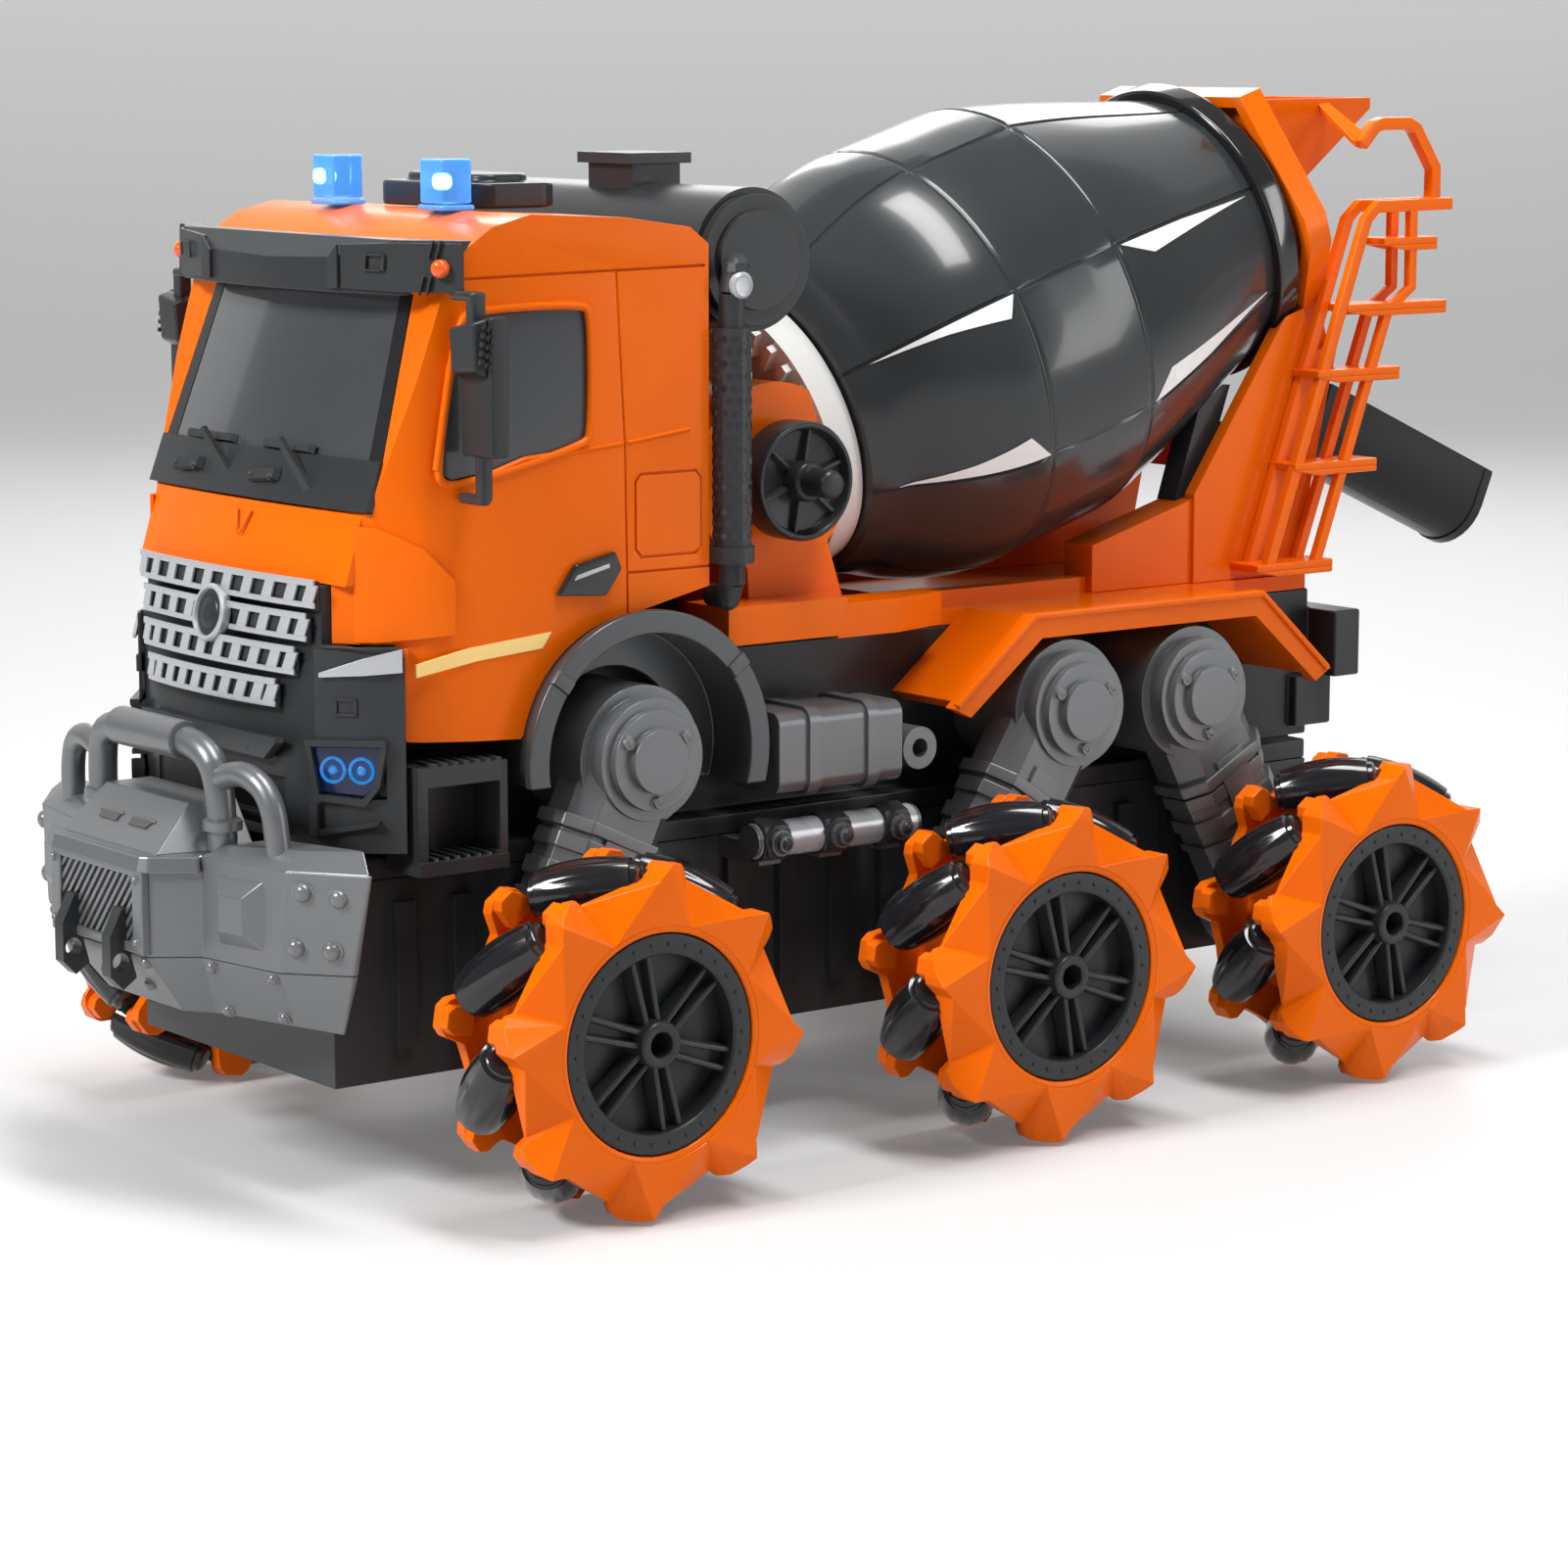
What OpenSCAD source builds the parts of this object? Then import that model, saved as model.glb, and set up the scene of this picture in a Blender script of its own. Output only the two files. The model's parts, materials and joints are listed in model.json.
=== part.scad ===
// Toy cement mixer truck on six wheels with slanted rollers.
// The front of the truck faces -Y, its left side is +X and +Z is up.
// Heights are above the ground. Lengths along Y are from the front axle,
// and from_axle() then moves everything so that the origin is under the middle.

/* [Wheels] */
// Radius of a wheel over its rollers
wheel_r = 32; // [31:0.5:32]
// Distance from the middle of the truck to the outer face of a wheel
track_half = 81; // [81:0.5:84]
// Distance from the front axle to the middle axle
middle_axle = 92.5; // [90:0.5:94]
// Distance from the front axle to the rear axle
rear_axle = 175; // [173:0.5:177]
// Number of rollers and lobes on a wheel
roller_count = 8; // [6:1:8]

/* [Cab] */
// Width of the cab
cab_w = 86; // [84:1:88]
// Height of the cab roof above the ground
roof_z = 170; // [168:1:172]
// Wall thickness of the moulded shells
wall = 2; // [1.6:0.2:2.4]

/* [Drum] */
// Slope of the drum's axis in degrees
drum_tilt = 17.6; // [17:0.2:18]
// Largest radius of the drum
drum_r = 43; // [41:0.5:43]
// Length of the straight band in the middle of the drum
drum_band = 26; // [24:1:26]
// Radius of the open mouth at the back
mouth_r = 22.5; // [20:0.5:22.5]

/* [Drum drive] */
// Teeth on the ring gear at the drum's nose
ring_teeth = 36; // [36:1:36]
// Teeth on the pinion behind the hand wheel
pinion_teeth = 20; // [20:1:20]
// Radius of the hand wheel
hand_wheel_r = 11; // [9:0.5:11]

/* [Chute] */
// Slope of the chute in degrees
chute_slope = 23.6; // [20:0.2:25]
// Length of the chute along its floor
chute_len = 53; // [45:1:56]

/* [Colours] */
// Colour of the bodywork and the wheels
body_colour = "#f06a10"; // [#f06a10, #e0b020, #3070c0]
// Colour of the bumper, gearboxes and tanks
grey_colour = "#76787b"; // [#76787b, #8c8f92]
// Colour of the chassis, drum and trim
dark_colour = "#34373a"; // [#34373a, #222426]

/* [Hidden] */
$fn = 48;

// The front axle lies this far in front of the middle of the whole truck
axle_y = -103.4;

// Wheels
hub_z = wheel_r - 0.45;
wheel_w = 25.5;
plate_t = 4.6;
inner_plate_t = 2.5;
lobe_r = wheel_r - 1;
valley_r = 25;
drum_core_r = 18;
rim_r = 19.4;
rim_depth = 5.6;
roller_r = 5.5;
roller_end_r = 4.2;
roller_half = 8.2;
lobe_phase = 9;
axle_r = 2.5;
run_gap = 0.05;

// Gearboxes: where each pod's axis lies, and its size
pod_z = 75;
pod_r = 13;
front_pod = 19.8;
middle_pod = middle_axle + 27.3;
rear_pod = rear_axle - 23.3;
leg_x0 = 36;
leg_x1 = 50;
leg_w = 21;

// Chassis
tub_x = 33;
tub_y0 = -36;
tub_y1 = 196;
tub_z0 = 20;
cover_z = 56;
rail_z0 = 60;
rail_z1 = 90;
rail_x0 = 20;
rail_x1 = 28;

// Cab
cab_x = cab_w / 2;
cab_rear = 38;
arch_y = 22;
arch_z = 75;
arch_r = 25;

// Drum: the centre of the front edge of its straight band
drum_y = 117.1;
drum_z = 138.3;
nose_s = -36;
seat_s = 74;
mouth_s = 84.4;
cone_r = 27.6;
drum_wall = 2;

// Drum drive: the pinion's axis crosses the drum's axis here
shaft_s = -57.3;
shaft_y = drum_y + shaft_s * cos(drum_tilt);
shaft_z = drum_z + shaft_s * sin(drum_tilt);
pinion_r = 13.9;
ring_r = pinion_r * ring_teeth / pinion_teeth;
tooth_up = 0.7;
tooth_down = 1.1;
shaft_r = 2.5;
bearing_r = 3;

// Chute swivel
chute_pin_y = 213;
chute_pin_r = 2;
chute_y = 222;
chute_z = 122;

// ---------------------------------------------------------------- helpers

module from_axle() {
  translate([0, axle_y, 0]) children();
}

module both_sides() {
  children();
  mirror([1, 0, 0]) children();
}

// A side outline drawn in (y, z), from x0 to x1
module along_x(x0, x1) {
  translate([x0, 0, 0]) rotate([90, 0, 90]) linear_extrude(x1 - x0) children();
}

// A front outline drawn in (x, z), from y0 to y1
module along_y(y0, y1) {
  translate([0, y1, 0]) rotate([90, 0, 0]) linear_extrude(y1 - y0) children();
}

// A plan outline drawn in (x, y), from z0 to z1
module along_z(z0, z1) {
  translate([0, 0, z0]) linear_extrude(z1 - z0) children();
}

module block(x0, x1, y0, y1, z0, z1) {
  translate([x0, y0, z0]) cube([x1 - x0, y1 - y0, z1 - z0]);
}

module rod_x(x0, x1, r, y, z) {
  translate([x0, y, z]) rotate([0, 90, 0]) cylinder(h = x1 - x0, r = r);
}

module rod_y(y0, y1, r, x, z) {
  translate([x, y0, z]) rotate([-90, 0, 0]) cylinder(h = y1 - y0, r = r);
}

module rod_z(z0, z1, r, x, y) {
  translate([x, y, z0]) cylinder(h = z1 - z0, r = r);
}

module rounded(w, h, r) {
  square([w - 2 * r, h], center = true);
  square([w, h - 2 * r], center = true);
  for (x = [-1, 1], y = [-1, 1])
    translate([x * (w / 2 - r), y * (h / 2 - r)]) circle(r);
}

module chamfered(w, h, c) {
  polygon([[-w / 2, c - h / 2], [c - w / 2, -h / 2], [w / 2 - c, -h / 2], [w / 2, c - h / 2],
           [w / 2, h / 2 - c], [w / 2 - c, h / 2], [c - w / 2, h / 2], [-w / 2, h / 2 - c]]);
}

// A twelve-sided tube through a list of points, with a slightly thicker ball at each elbow
module tube_run(points, r) {
  for (i = [0 : len(points) - 2]) {
    run = points[i + 1] - points[i];
    translate(points[i])
      rotate([0, acos(run.z / norm(run)), atan2(run.y, run.x)])
        cylinder(h = norm(run), r = r, $fn = 12);
  }
  for (i = [1 : len(points) - 2])
    translate(points[i]) sphere(r * 1.07, $fn = 10);
}

// The drum's own frame: +Z runs along its axis towards the mouth
module on_drum() {
  translate([0, drum_y, drum_z]) rotate([drum_tilt - 90, 0, 0]) children();
}

// ---------------------------------------------------------------- chassis

module chassis_tub() {
  color(dark_colour) from_axle() difference() {
    union() {
      block(-tub_x, tub_x, tub_y0, tub_y1, tub_z0, cover_z);
      both_sides() for (y = [-24 : 12 : 186])
        block(tub_x - 0.5, tub_x + 2, y, y + 4, tub_z0 + 6, cover_z - 4);
    }
    block(-tub_x + wall, tub_x - wall, tub_y0 + wall, tub_y1 - wall,
          tub_z0 + wall, cover_z + 1);
    block(-20.3, 20.3, 59.7, 130.3, tub_z0 - 1, tub_z0 + wall + 1);
    block(-3, 3, 140, 154, tub_z0 - 1, tub_z0 + wall + 1);
  }
}

module chassis_frame() {
  color(dark_colour) from_axle() union() {
    block(-tub_x, tub_x, tub_y0, tub_y1, cover_z, rail_z0);
    both_sides() block(rail_x0, rail_x1, -30, 201, rail_z0, rail_z1);
    for (y = [-30, 60, 130, 192])
      block(-rail_x0 - 1, rail_x0 + 1, y, y + 5, rail_z0, rail_z1 - 4);
    block(-30, 30, 196, 206, 62, 72.5);
    block(-36, 36, 201, 208, 72.5, 86);
  }
}

module battery_pack() {
  color("#3a6ea5") from_axle() for (x = [-9.3, 9.3])
    rod_y(62, 128, 9, x, tub_z0 + wall + 9.2);
}

module battery_door() {
  color(dark_colour) from_axle() difference() {
    block(-20, 20, 60, 130, tub_z0, tub_z0 + wall);
    for (y = [65, 125]) rod_z(tub_z0 - 1, tub_z0 + 1, 2.2, 0, y);
    for (y = [90 : 4 : 102]) block(-12, 12, y, y + 2, tub_z0 - 1, tub_z0 + 0.6);
  }
}

module circuit_board() {
  color("#1d6b3a") from_axle() union() {
    block(-26, 26, 0, 52, 40, 41.6);
    block(-9, 9, 14, 30, 41.6, 44);
    for (x = [-20, 14]) block(x, x + 6, 6, 12, 41.6, 48);
    rod_z(41.6, 50, 4, 18, 40);
    for (x = [-22, 22], y = [4, 48]) rod_z(tub_z0 + wall, 40, 2, x, y);
  }
}

module power_switch() {
  color("#c8201c") from_axle() union() {
    block(-2.6, 2.6, 143, 147, tub_z0 - 1.5, tub_z0 + wall + 0.3);
    block(-5, 5, 141.5, 148.5, tub_z0 + wall + 0.3, tub_z0 + wall + 2);
  }
}

// ---------------------------------------------------------------- gearboxes

module gearbox(pod_y, hub_y) {
  lean = atan2(pod_y - hub_y, pod_z - hub_z);
  reach = norm([pod_y - hub_y, pod_z - hub_z]);
  difference() {
    union() {
      rod_x(rail_x1, 47, pod_r, pod_y, pod_z);
      rod_x(46, 50.6, 11, pod_y, pod_z);
      rod_x(50, 52, 9, pod_y, pod_z);
      rod_x(51, 53.5, 5.8, pod_y, pod_z);
      for (a = [30, 150, 270])
        rod_x(51, 52.8, 1.1, pod_y + 7.4 * cos(a), pod_z + 7.4 * sin(a));
      translate([0, hub_y, hub_z]) rotate([-lean, 0, 0]) {
        along_z(0, reach) translate([(leg_x0 + leg_x1) / 2, 0])
          chamfered(leg_x1 - leg_x0, leg_w, 4);
        along_z(12, reach - 14) translate([leg_x1 - 1, 0]) square([3.4, 7], center = true);
        along_z(22, 25) translate([(leg_x0 + leg_x1) / 2, 0])
          chamfered(leg_x1 - leg_x0 + 1.2, leg_w + 1.2, 4);
      }
      rod_x(leg_x0 + 0.4, leg_x1 - 0.4, leg_w / 2 + 0.9, hub_y, hub_z);
    }
    rod_x(rail_x1 - 1, 46, 8.4, pod_y, pod_z);
    rod_x(leg_x0 - 1, leg_x1 + 1, axle_r + run_gap, hub_y, hub_z);
  }
}

module front_gearboxes() {
  color(grey_colour) from_axle() both_sides() gearbox(front_pod, 0);
}

module rear_gearboxes() {
  color(grey_colour) from_axle() both_sides() {
    gearbox(middle_pod, middle_axle);
    gearbox(rear_pod, rear_axle);
  }
}

module drive_motors() {
  color("#a8abad") from_axle() both_sides()
    for (y = [front_pod, middle_pod, rear_pod]) {
      rod_x(rail_x1 + 0.2, 42, 8, y, pod_z);
      rod_x(42, 45, 1, y, pod_z);
    }
}

// ---------------------------------------------------------------- wheels

// Outline of a wheel plate: a lobe at each roller
module lobed_plate(tip_r) {
  step = 360 / roller_count;
  polygon([
    for (k = [0 : roller_count - 1], p = [[-22.5, valley_r], [-8, tip_r - 1.2],
                                         [-5, tip_r], [5, tip_r], [8, tip_r - 1.2]])
      let (a = k * step + p[0] * 8 / roller_count + lobe_phase)
      [-p[1] * cos(a), p[1] * sin(a)]
  ]);
}

// Everything of one wheel is made at the origin of its hub, on the left side
module at_wheel(y, side) {
  from_axle() translate([0, y, hub_z])
    if (side > 0) children();
    else mirror([1, 0, 0]) children();
}

module wheel(y, side) {
  outer = track_half;
  inner = track_half - wheel_w;
  color(body_colour) at_wheel(y, side) difference() {
    union() {
      along_x(outer - plate_t, outer) lobed_plate(lobe_r);
      along_x(inner, inner + inner_plate_t) lobed_plate(lobe_r - 1);
      rod_x(inner, outer - 1, drum_core_r, 0, 0);
      rod_x(outer - rim_depth - 2, outer - 1, rim_r + 1.6, 0, 0);
    }
    rod_x(outer - rim_depth, outer + 1, rim_r, 0, 0);
    rod_x(inner - 1, outer, axle_r, 0, 0);
  }
}

module rim(y, side) {
  outer = track_half;
  color(dark_colour) at_wheel(y, side) union() {
    difference() {
      rod_x(outer - rim_depth, outer - 0.4, rim_r, 0, 0);
      rod_x(outer - rim_depth + 1.6, outer, rim_r - 3.6, 0, 0);
    }
    for (k = [0 : 5]) rotate([k * 60 + 18, 0, 0]) for (d = [-1.7, 1.7])
      block(outer - rim_depth + 1.5, outer - 1.6, d - 0.7, d + 0.7, 2, rim_r - 3);
    rod_x(outer - rim_depth + 1, outer - 0.8, 5.4, 0, 0);
    rod_x(leg_x0, outer - rim_depth + 1, axle_r, 0, 0);
  }
}

// Radius of a barrel roller at a distance along its own axis
function barrel(d) = roller_end_r
  + (roller_r - roller_end_r) * (1 - pow(d / roller_half, 2));

module roller() {
  steps = 4;
  rotate_extrude() polygon(concat(
    [[0, -roller_half]],
    [for (i = [-steps : steps]) [barrel(i * roller_half / steps), i * roller_half / steps]],
    [[0, roller_half]]
  ));
}

module rollers(y, side) {
  step = 360 / roller_count;
  mid = track_half - (plate_t - inner_plate_t) / 2 - wheel_w / 2;
  color("#17181a") at_wheel(y, side) for (k = [0 : roller_count - 1])
    rotate([180 - k * step - lobe_phase + step / 2, 0, 0])
      translate([mid, wheel_r - roller_r, 0]) rotate([0, 135, 0])
        roller();
}

// ---------------------------------------------------------------- bumper

// Radius of the hole in a tow hook
hook_hole_r = 1.6;

// Plan of the bumper's front face, half of it, from the middle outwards
bumper_plan = [[0, -63], [16, -63], [24, -59], [36, -54.5], [56, -42]];

module bumper_outline(shrink, back) {
  half = [for (p = bumper_plan) [p.x - shrink * p.x / 56, p.y + shrink]];
  mirrored = [for (i = [len(half) - 1 : -1 : 1]) [-half[i].x, half[i].y]];
  polygon(concat(half, [[56 - shrink, back], [-56 + shrink, back]], mirrored));
}

module bumper_face() {
  difference() {
    union() {
      along_z(44, 62) bumper_outline(0, -40);
      difference() {
        hull() {
          along_z(43.8, 44) bumper_outline(0, -40);
          along_z(33, 33.2) bumper_outline(9, -40);
        }
        block(-60, 60, -40, -30, 32, 44.5);
      }
      both_sides() along_z(62, 65.5) polygon([[27, -57.5], [36, -54.5], [56, -42], [50, -40], [27, -44]]);
      hull() {
        along_z(61.8, 62) polygon([[-17, -61.5], [17, -61.5], [21, -44], [-21, -44]]);
        along_z(69.5, 70) polygon([[-15, -53], [15, -53], [15, -44], [-15, -44]]);
      }
      both_sides() translate([40.5, -51.8, 54]) rotate([0, 0, 32])
        block(-5, 5, -2.2, 0.5, -5, 5);
    }
    block(-46, 46, -46, -39, 36, 61);
    block(-14, 14, -64, -61.5, 46, 58);
    // Sockets for the feet of the bull bar
    both_sides() rod_z(62, 72, 3.5, 21, -50.5);
    hull() {
      block(-40, 40, -46, -39, 34, 36);
      block(-30, 30, -53, -39, 38, 58);
    }
  }
}

module bumper() {
  color(grey_colour) from_axle() union() {
    bumper_face();
    // Arms to the chassis
    both_sides() block(12, 19, -54, tub_y0, 42, 52);
  }
}

module bull_bar() {
  color(grey_colour) from_axle() union() {
    tube_run([[-21, -50.5, 66], [-20.5, -50.8, 74], [-17, -51.5, 79], [-12, -52, 80.5],
              [12, -52, 80.5], [17, -51.5, 79], [20.5, -50.8, 74], [21, -50.5, 66]], 2.5);
    rod_x(-10, 10, 3.3, -52, 80.5);
    both_sides() tube_run([[20.5, -50.8, 74.5], [27, -50.4, 76], [33, -49.5, 73],
                           [36, -49, 68.5], [37, -49, 66.3]], 2);
    both_sides() rod_z(62, 67.5, 3.4, 21, -50.5);
  }
}

module tow_hooks() {
  color(dark_colour) from_axle() both_sides() difference() {
    along_x(7, 10) polygon([[-61.5, 52], [-64.5, 52], [-67, 47], [-67, 40], [-64.5, 37.5],
                            [-61.8, 39.4], [-63, 44], [-63, 46], [-61.5, 46]]);
    rod_x(6, 11, hook_hole_r, -64.9, 42.5);
  }
}

// ---------------------------------------------------------------- cab

// Side outline of the cab: leaning front, windscreen and rounded roof
cab_side = [[-24, 81], [-33.5, 84], [-35.5, 98], [-33.7, 108], [-30, 120.4],
            [-27.4, 127.4], [-17.5, 158], [-14, 165], [-8, roof_z - 1], [0, roof_z + 1],
            [20, roof_z], [34, roof_z - 2], [38, roof_z - 5], [38, 104], [20, 100], [-3, 80]];

// Plan of the cab: bowed front with cut corners
cab_plan = [[0, -37], [20, -36], [30, -33.6], [37, -29], [41, -22], [43, -12], [43, 38]];

module mirrored_plan(half, grow) {
  right = [for (p = half) [p.x * (1 + grow / 43), p.y - grow]];
  left = [for (i = [len(half) - 1 : -1 : 0]) [-right[i].x, right[i].y]];
  polygon(concat(right, left));
}

module cab_block(inset) {
  intersection() {
    along_x(-cab_x + inset, cab_x - inset) polygon(cab_side);
    translate([0, inset, 0]) along_z(70, 180)
      mirrored_plan([for (p = cab_plan) [p.x - inset, p.y]], 0);
  }
}

module window_outline(grow) {
  polygon([[-19.6 - grow, 128], [-16.4 - grow, 146], [-13.4 - grow, 154 + grow],
           [11.8 + grow, 154.8 + grow], [11.8 + grow, 131.4 - grow], [-4, 127.8 - grow],
           [-16.5, 126 - grow]]);
}

module cab_shell() {
  color(body_colour) from_axle() difference() {
    cab_block(0);
    // Hollow inside, with a floor over the rails
    intersection() {
      block(-cab_x + wall, cab_x - wall, -40, cab_rear - wall, 92, roof_z - 4);
      along_z(91, roof_z) mirrored_plan([for (p = cab_plan) [p.x - wall, p.y + wall * 0.8]], 0);
      along_x(-50, 50) polygon([[-30, 92], [-29, 118], [-14, 158], [-5, 180], [40, 180], [40, 92]]);
    }
    // Room for the chassis, the gearboxes and the fascia
    block(-36, 36, -50, 60, 70, 90);
    block(-30.2, 30.2, -50, -28, 80, 108.2);
    block(-60, 60, -60, -26, 70, 98);
    rod_x(-60, 60, arch_r + 0.2, arch_y, arch_z);
    // Windscreen and side windows
    along_y(-60, -10) polygon([[-37, 120.6], [37, 120.6], [37, 128], [33, 157.5],
                               [-33, 157.5], [-37, 128]]);
    along_x(-60, 60) window_outline(0.2);
  }
}

module cab_fascia() {
  color(dark_colour) from_axle() difference() {
    union() {
      intersection() {
        along_z(62, 97.8) mirrored_plan([[0, -40], [20, -39], [31, -36], [38, -31],
                                         [42, -26.6], [42, -26.3]], 0);
        along_x(-60, 60) polygon([[-26.3, 62], [-36, 62], [-40.5, 66], [-40.5, 80],
                                  [-36, 98], [-26.3, 98]]);
      }
      block(-30, 30, -35.5, -32, 97, 108);
    }
    block(-40, 40, -33, -20, 61, 90);
    block(-36, 36, -32, -20, 89, 99);
    both_sides() translate([35.5, -36, 76.5]) rotate([0, 0, 38])
      block(-5.6, 7, -8, 2.2, -4.4, 4.4);
    block(-22, 22, -42, -38, 67, 74);
  }
}

// The grille's slats step back as the front leans back
grille_back = [-38.9, -37.4, -36.1, -35.6];

module grille() {
  color("#b9bcc0") from_axle() {
    for (i = [0 : 3]) {
      z = 86.6 + 5.9 * i;
      half = [22, 26, 28, 30][i];
      back = grille_back[i];
      difference() {
        along_z(z, z + 4.6) polygon([[-half, back], [half, back], [half, back - 1.2],
                                     [half * 0.6, back - 2.4], [0, back - 3],
                                     [-half * 0.6, back - 2.4], [-half, back - 1.2]]);
        for (k = [-3 : 3]) if (k != 0)
          block(k * 6.2 - 0.8, k * 6.2 + 0.8, back - 4, back - 0.6, z + 0.8, z + 3.8);
      }
    }
    rod_y(-40.6, -36.8, 4.6, 0, 100);
  }
}

module windscreen() {
  color("#2b2e31") from_axle() union() {
    intersection() {
      along_x(-36.8, 36.8) polygon([[-29.8, 120.8], [-27.3, 127.4], [-17.7, 157.3],
                                    [-15.6, 157.3], [-25.2, 127.4], [-27.7, 120.8]]);
      along_y(-60, -10) polygon([[-36.8, 120.8], [36.8, 120.8], [36.8, 128], [32.8, 157.3],
                                 [-32.8, 157.3], [-36.8, 128]]);
    }
    for (x = [-16, 12]) translate([x, -29.2, 124]) rotate([20, 0, 0]) {
      block(-6, 8, -1.2, 0.6, -0.8, 0.8);
      rotate([0, 38, 0]) block(-0.7, 0.7, -1.4, 0.4, -1, 9);
    }
  }
}

module side_windows() {
  color("#2b2e31") from_axle() both_sides()
    along_x(cab_x - 1.8, cab_x - 0.6) window_outline(0);
}

module sun_visor() {
  color(dark_colour) from_axle() difference() {
    along_z(157.6, 167) polygon([[0, -27], [20, -26.4], [36, -23], [46, -16], [46, -11],
                                 [44, -11], [44, -14.5], [34, -18.6], [0, -20],
                                 [-34, -18.6], [-44, -14.5], [-44, -11], [-46, -11],
                                 [-46, -16], [-36, -23], [-20, -26.4]]);
    along_x(-60, 60) polygon([[-30, 167.5], [-30, 160], [-22.5, 167.5]]);
    along_x(-60, 60) polygon([[-22.2, 157], [-8, 157], [-8, 168], [-13.2, 168]]);
  }
}

module mirrors() {
  color(dark_colour) from_axle() both_sides() union() {
    tube_run([[44.5, -16.5, 157.2], [49, -16, 157.2], [49.5, -15.5, 154]], 1.3);
    along_z(130, 155) translate([50, -14.5]) rounded(9, 5, 2);
    along_z(144, 153) translate([50, -17.5]) rounded(7, 4, 1.5);
    rod_z(124, 130, 1.4, 49.5, -14.5);
    tube_run([[49.5, -14.5, 124], [47, -14.5, 122.8], [cab_x + 0.05, -14.5, 122.8]], 1.3);
  }
}

module beacons() {
  color("#3aa0e8", 0.6) from_axle() both_sides()
    along_z(roof_z + 1, roof_z + 10) translate([18, -1]) rounded(9, 9, 1.5);
}

module roof_unit() {
  color(dark_colour) from_axle() union() {
    along_z(roof_z + 1, roof_z + 5.5) translate([2, 14]) rounded(34, 18, 4);
    along_z(roof_z + 5.5, roof_z + 7) translate([2, 14]) rounded(26, 12, 4);
  }
}

module headlights() {
  color("#2f6fd8", 0.7) from_axle() both_sides()
    translate([35.5, -36, 76.5]) rotate([0, 0, 38]) union() {
      block(-5.2, 5.6, 0.4, 2.1, -4, 4);
      for (x = [-2.6, 2.6]) rod_y(-0.8, 0.6, 2.1, x, 0);
    }
}

module door_handles() {
  color("#1d1f21") from_axle() both_sides()
    along_x(cab_x, cab_x + 1.4) polygon([[4.2, 104.7], [8, 109.9], [16.7, 111.7],
                                         [18, 108.5], [14.6, 104]]);
}

module cab_steps() {
  color(dark_colour) from_axle() both_sides() union() {
    block(34, 44.6, -25.5, -7, 73.5, 77);
    block(34, 45, -25.5, -7, 58, 60.5);
    block(34, 36, -25.5, -7, 60, 74);
    block(34, 44.6, -25.5, -23.5, 60, 74);
    block(34, 44.6, -8.6, -7, 60, 74);
    block(rail_x1, 34.5, -20, -12, 66, 70);
    for (y = [-22.5 : 2.2 : -9]) block(36.5, 44.6, y, y + 1, 77, 77.6);
    for (y = [-22.5 : 2.2 : -9]) block(36.5, 44.6, y, y + 1, 60.5, 61.1);
  }
}

module wheel_arches() {
  color(grey_colour) from_axle() both_sides() difference() {
    union() {
      rod_x(34.5, 47, arch_r, arch_y, arch_z);
      rod_x(45.5, 47.6, arch_r + 1.2, arch_y, arch_z);
      block(rail_x1, 35, 34, 40, 80, 86);
    }
    rod_x(36, 48, arch_r - 3, arch_y, arch_z);
    block(20, 60, -10, 33, 40, 71.5);
    block(20, 60, 33, 60, 40, 68);
    rod_x(27, 37, 15, arch_y - 1, arch_z);
    block(20, 37, 4, 33, 50, arch_z);
  }
}

// ---------------------------------------------------------------- behind the cab

module water_tank() {
  color(dark_colour) from_axle() union() {
    rod_x(-37, 37, 13, 52, 161.5);
    both_sides() rod_x(37, 39, 11.8, 52, 161.5);
    both_sides() rod_x(39, 40, 9, 52, 161.5);
    block(-7, 7, 47, 58, 172, 178);
    block(-8.5, 8.5, 45.5, 59.5, 178, 180);
    both_sides() block(5.5, 11, 44.5, 54, 93, 150);
  }
}

module exhaust_stack() {
  color("#26282a") from_axle() {
    both_sides() {
      rod_z(110, 150, 3.5, 44.2, 42.2);
      rod_z(104, 110, 2.4, 44.2, 42.2);
      rod_z(150, 156, 2.4, 44.2, 42.2);
      tube_run([[44.2, 42.2, 156], [44.2, 43, 160], [42.5, 44.5, 161]], 2.4);
      tube_run([[44.2, 42.2, 104.5], [43, 42.2, 101.5], [38.2, 42.2, 101.5]], 2.2);
      rod_z(108, 111, 4, 44.2, 42.2);
    }
  }
}

module drum_pedestal() {
  color(body_colour) from_axle() difference() {
    union() {
      both_sides() along_x(27, 30) polygon([[57, 93], [80, 93], [75, 108], [72.6, shaft_z + 4],
                                            [52.4, shaft_z + 4], [56, 108]]);
      both_sides() difference() {
        rod_x(27, 30, pinion_r + tooth_up + 3, shaft_y, shaft_z);
        on_drum() translate([-40, -40, shaft_s + pinion_r - tooth_up - 0.7]) cube([80, 80, 40]);
      }
      both_sides() along_x(12, 15) polygon([[57, 93], [76, 93], [69, shaft_z + 4], [56, shaft_z + 4]]);
      block(-30, 30, 56.5, 59, 93, 104);
      block(-14, 14, 59, 66, 93, 104);
      on_drum() translate([0, 0, shaft_s + 1.5]) cylinder(h = 9.5, r = 6.5);
      along_x(-5, 5) polygon([[58, 93], [68, 93], [68, 121], [64, 119.6]]);
    }
    on_drum() translate([0, 0, shaft_s]) cylinder(h = 20, r = bearing_r + run_gap);
    rod_x(11, 31, shaft_r + run_gap, shaft_y, shaft_z);
  }
}

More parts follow.
